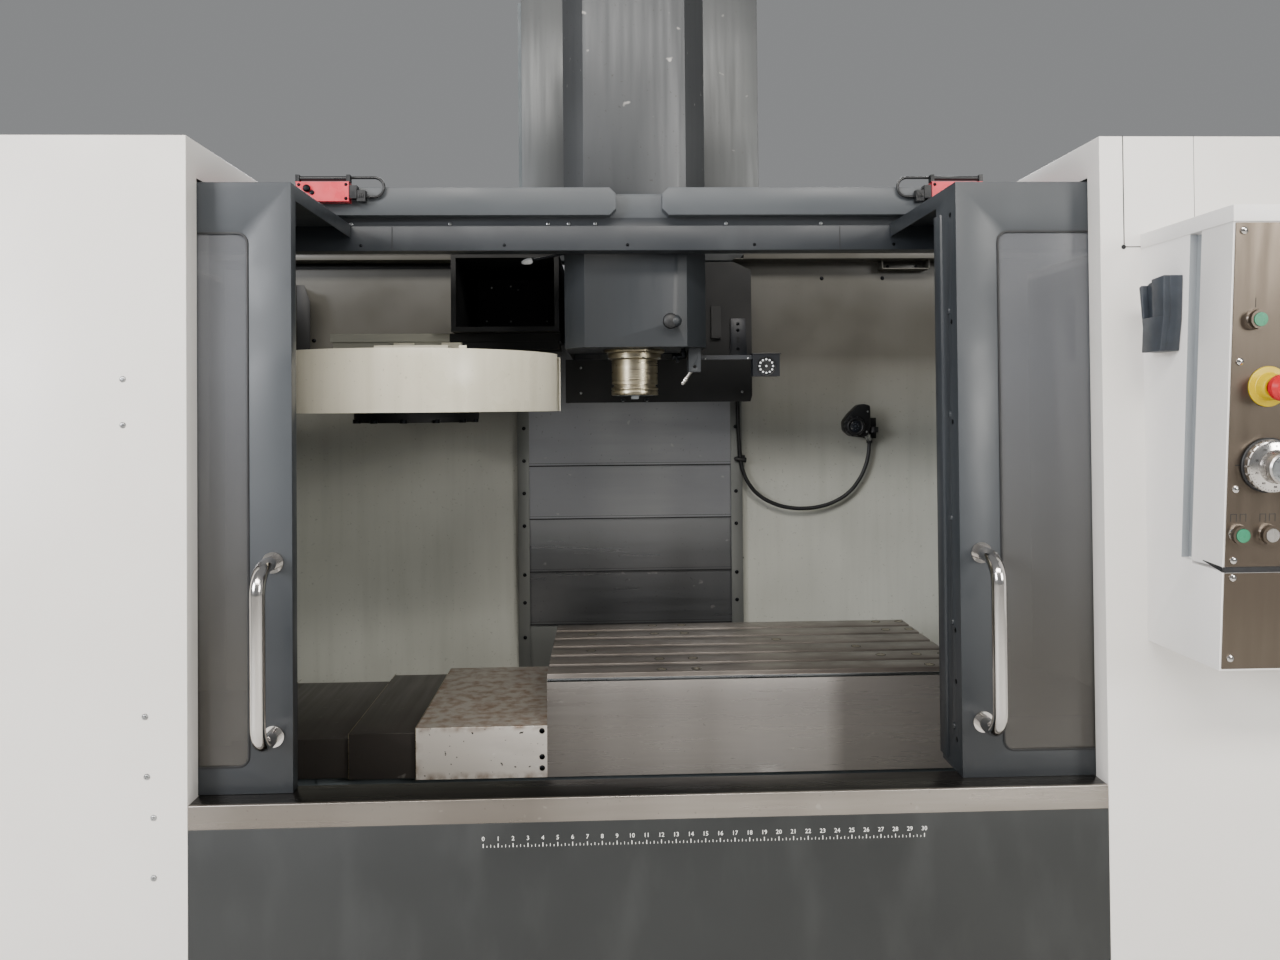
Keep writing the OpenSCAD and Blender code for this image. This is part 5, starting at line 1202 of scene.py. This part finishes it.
finish_piece([plate([(lx1 - 66, 594.5, 1535), (lx1 + 2, 594.5, 1535), (lx1 + 4, 594.5, 1532.5),
                     (lx1 - 66, 594.5, 1532.5)], (0, 33, 0)),
              turned((lx0 + 22, 612, 1533), up,
                     [(11.5, -0.5), (11.5, 1), (8, 2), (5, 2), (5, 5.5), (0, 5.5)], 24)],
             "lamp_hood_and_pivot", "socket", "lamp", 0.4)
screws("lamp_arm_screws", "zinc", "lamp", [(lx0 + 40, 606, 1523), (lx1 - 74, 606, 1523)], front,
       2.6)
bx = 75
finish_piece([turned((bx, 575, 1527), right,
                     [(5.5, 0), (8, 0), (8, 7), (6, 8), (6, 13), (9, 13), (9, 22), (6.5, 23),
                      (6.5, 32), (0, 32)], 6),
              turned((bx + 12, 575, 1519), down,
                     [(4, -8), (6.5, -8), (6.5, 2), (4.5, 3), (4.5, 6), (0, 6)], 6),
              turned((bx + 26, 575, 1535), up,
                     [(4.5, -8), (7, -8), (7, 4), (5, 5), (5, 11), (0, 11)], 6)],
             "nozzle_fittings", "black_steel", "head", 0.4)
finish_piece([turned((104.2, 575, 1471), (-0.574, 0, -0.819),
                     [(3.9, -6), (5.6, -6), (5.6, -1), (4.6, 1), (4.6, 5), (5.2, 6), (5.2, 8),
                      (3.9, 8), (3.9, -6)], 20)],
             "nozzle_ferrule", "tube", "nozzle", 0.2)

# %% Changer
band = (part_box("changer_cover")[0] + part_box("changer_cover")[1]) * 500
bx_mid, bd_mid = band.x, band.y - front_y
seam = math.radians(-34)
radius = (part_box("changer_cover")[1].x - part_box("changer_cover")[0].x) * 500
print("band mid", round(bx_mid), round(bd_mid), "radius", round(radius))


def on_band(angle, z, lift):
    """A point on the band's outer face, or lift mm out of it."""
    return (bx_mid + (radius + lift) * math.cos(angle), bd_mid + (radius + lift) * math.sin(angle),
            z)


joint = []
for lift, width in ((0.7, 11), (0.9, 0.6)):
    a, b = seam - width / radius / 2, seam + width / radius / 2
    joint.append(plate([on_band(turn, z, -0.6) for turn, z in ((a, 1403), (b, 1403), (b, 1533),
                                                               (a, 1533))],
                       ((lift + 0.6) * math.cos(seam), (lift + 0.6) * math.sin(seam), 0)))
finish_piece([joint[0]], "band_seam", "cream", "shuttle", 0.3)
finish_piece([joint[1]], "band_seam_line", "black_print", "shuttle")
places = [on_band(seam, z, 0.7) for z in (1416, 1468, 1520)]
outward = (math.cos(seam), math.sin(seam), 0)
finish_piece(studs([(3.2, -0.2), (2.6, 0.9), (0, 1.3)], places, outward, 14),
             "band_rivets", "cream", "shuttle")
tab = math.radians(-62)
tx, td = on_band(tab, 0, -8)[:2]
finish_piece([block((tx - 8, tx + 8), (td - 2, td + 2), (1531, 1541))], "band_tab", "cream",
             "shuttle", 0.8)
screws("changer_box_screws", "zinc", "machine",
       [(x, 1129, z) for x, z in ((-355, 1764), (-334, 1754), (-355, 1662), (-425, 1663),
                                  (-410, 1760), (-250, 1662))], front, 3.6)
finish_piece([block((-449, -208), (1127.6, 1128.4), (1700, 1701)),
              block((-330, -326), (1118, 1128), (1610, 1640))],
             "changer_box_marks", "black_steel", "machine", 0.2)
bosses = [(bx_mid + 140 * math.cos(a), bd_mid + 140 * math.sin(a), 1377)
          for a in (2 * math.pi * k / 12 for k in range(12))]
finish_piece(at_places(lambda p: bar(p, (p[0], p[1], 1386), 9, 10), bosses),
             "carousel_hub_bosses", "black_steel", "carousel", 0.8)
forks = []
mid_x = sum(v.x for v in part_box("changer_carousel")) * 500
mid_d = sum(v.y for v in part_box("changer_carousel")) * 500 - front_y
pocket_turns = [math.radians(18 * k) for k in range(20)]
disc_top = 1418.2
for a in pocket_turns:
    ca, sa = math.cos(a), math.sin(a)
    for s in (-1, 1):
        corner = [(r * ca - t * s * sa, r * sa + t * s * ca)
                  for r, t in ((270, 23.5), (306, 23.5), (306, 31), (270, 31))]
        forks.append(plate([(mid_x + x, mid_d + d, disc_top) for x, d in corner], (0, 0, 6)))
finish_piece(forks, "pocket_lips", "socket", "carousel", 0.6)
spots = [(mid_x + 246 * math.cos(a), mid_d + 246 * math.sin(a), disc_top) for a in pocket_turns]
finish_piece(studs([(9, -0.1), (9, 0.5), (8, 0.9), (0, 0.9)], spots, up, 20),
             "pocket_discs", "keys", "carousel")
print("changer fitted")

# %% [markdown]
# ## Right door return
# A row of dark screws runs down the folded return of the right door. At the screws its face lies
# 6 mm to the right of the door's left edge.

# %% Return screws
return_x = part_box("right_door")[0].x * 1000 + 6
screws("right_return_screws", "black_steel", "right_door_unit",
       [(return_x, 73, z) for z in (1756, 1560, 1377, 998, 905, 800)], left, 6)

# %% [markdown]
# ## Ball screws and rails
# Rolled threads and rows of rail screws are small, but they make a drive look real. One dark
# groove is copied along each screw, leaning by the lead.

# %% Threads
def thread(name, body, a, b, r, pitch=12):
    """Dark bands set at the angle of the lead along a screw from a to b."""
    p, q = Vector(a), Vector(b)
    way = (q - p).normalized()
    side = Vector((way.y, way.z, way.x))
    lead = pitch / (2 * math.pi * r)
    shape = turned(tuple(p), tuple(way + side * lead),
                   [(r - 0.4, -2), (r + 0.14, -1.6), (r + 0.14, 1.6), (r - 0.4, 2)], 32)
    parts = copies(shape, [tuple(way * pitch * k) for k in range(1, int((q - p).length / pitch))])
    return finish_piece(parts, name, "black_steel", body)


thread("x_screw_thread", "x_screw", (-560, 640, 630), (640, 640, 630), 16, 16)
thread("z_screw_thread", "z_screw", (-11, 1250, 1100), (-11, 1250, 2240), 20, 18)
thread("y_screw_thread", "y_screw", (-11, 300, 390), (-11, 1120, 390), 16, 16)

# %% Rail screws
rail_cap = [(6.5, -0.3), (6.5, 0.03), (5.6, 0.06), (2.6, 0.06), (2.4, -0.1), (0, -0.1)]
places = [(axis_x + s * 300, d, 510) for s in (-1, 1) for d in spread(205, 1085, 12)]
finish_piece(studs(rail_cap, places, up, 14), "saddle_rail_caps", "spindle", "machine")
places = [(x, d, 670) for d in (500, 780) for x in spread(-670, 648, 16)]
finish_piece(studs(rail_cap, places, up, 14), "table_rail_caps", "spindle", "saddle_unit")

# %% [markdown]
# ## Levelling feet
# Two rows of three pads carry the base. Each has a lock nut, and thread ridges on its stud.

# %% Feet
feet = [(x, d) for x in (-431, 409) for d in (220, 900, 1580)]
lock_nut = [(13, 0), (22, 0), (24, 3), (24, 19), (22, 22), (13, 22), (13, 0)]
finish_piece(studs(lock_nut, [(x, d, 46) for x, d in feet], up, 6),
             "foot_lock_nuts", "zinc", "machine", 0.8)
ridges = [(x, d, z) for x, d in feet for z in (30, 34, 38, 42)]
finish_piece(studs([(14.7, -1.4), (15.6, 0), (14.7, 1.4)], ridges, up, 16),
             "foot_threads", "zinc", "machine")

# %% [markdown]
# ## Electrical cabinet and back
# The back is not in the photograph, so it is finished plainly: a door with a seal, hinges and
# screws, a rotary switch, louvres, and plugged glands below.

# %% Cabinet door
cabinet_d = 2078
hinges = [(-468, cabinet_d, z) for z in (620, 1250, 1880)]
finish_piece(at_places(lambda p: bar((p[0], p[1] - 2, p[2] - 35), (p[0], p[1] - 2, p[2] + 35),
                                     7, 18), hinges),
             "cabinet_hinges", "zinc", "machine", 1.0)
louvres = []
for k in range(10):
    z = 520 + 16 * k
    louvres.append(plate([(-160, 2077.5, z), (160, 2077.5, z), (156, 2083, z + 5),
                          (-156, 2083, z + 5)], (0, -0.9, 1.4)))
finish_piece(louvres, "cabinet_louvres", "cabinet", "machine", 0.4)
finish_piece([turned((300, cabinet_d, 1500), back,
                     [(0, 0), (32, 0), (32, 1.5), (30, 2.5), (14, 2.5), (14, 4), (0, 4)], 40)],
             "cabinet_switch_plate", "yellow", "machine", 0.4)
finish_piece([turned((300, 2081, 1500), back, [(0, 0), (13, 0), (13, 4), (12, 5), (0, 5)], 30),
              block((294, 306), (2084, 2089), (1476, 1524))],
             "cabinet_switch_knob", "estop", "machine", 1.0)
screws("cabinet_screws", "zinc", "machine",
       [(x, cabinet_d, z) for x in (-440, 0, 460) for z in (440, 2060)], back, 5)
seam_d = 2062
finish_piece([block((-481, 481), (seam_d - 1.5, seam_d + 1.5), (2079.2, 2080.6)),
              block((480, 480.8), (seam_d - 1.5, seam_d + 1.5), (420, 2080)),
              block((-480.8, -480), (seam_d - 1.5, seam_d + 1.5), (420, 2080))],
             "cabinet_door_seal", "rubber", "machine", 0.2)
gland = [(8, -2), (15, -2), (15, 3), (13, 4), (13, 10), (15, 11), (15, 18), (9, 22), (0, 22)]
finish_piece(studs(gland, [(x, 1860, 420) for x in spread(-220, 220, 6)], down, 6),
             "cabinet_glands", "socket", "machine", 0.8)

# %% [markdown]
# ## Motors
# Each servo motor gets a round end cap with four screws.

# %% Motor ends
def motor_end(name, body, at, out, r):
    """A domed cap with four screws on the free end of a motor."""
    a = Vector(at)
    o = Vector(out)
    side = Vector((o.y, o.z, o.x))
    parts = [turned(at, out, [(r - 3, -1), (r, -1), (r, 2), (r - 3, 5), (r - 12, 7), (0, 7)], 40)]
    finish_piece(parts, name + "_cap", "motor", body, 0.5)
    other = o.cross(side)
    spots = [tuple(a + o * 5 + (side * c + other * s) * (r - 7))
             for s in (0.7, -0.7) for c in (0.7, -0.7)]
    screws(name + "_screws", "zinc", body, spots, out, 3.2)


sm_low, sm_high = (v * 1000 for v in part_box("spindle_motor"))
motor_end("spindle_motor_end", "head", ((sm_low.x + sm_high.x) / 2, spindle_d, sm_high.z), up, 80)
xm_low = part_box("x_axis_motor")[0] * 1000
motor_end("x_motor_end", "saddle_unit", (xm_low.x, spindle_d, 622), left, 40)
am_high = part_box("axis_motors")[1] * 1000
motor_end("z_motor_end", "machine", (axis_x, 1250, am_high.z), up, 54)
motor_end("y_motor_end", "machine", (axis_x, am_high.y - front_y, 390), back, 54)
print("motors at", [round(v) for v in (xm_low.x, am_high.z, am_high.y - front_y)])
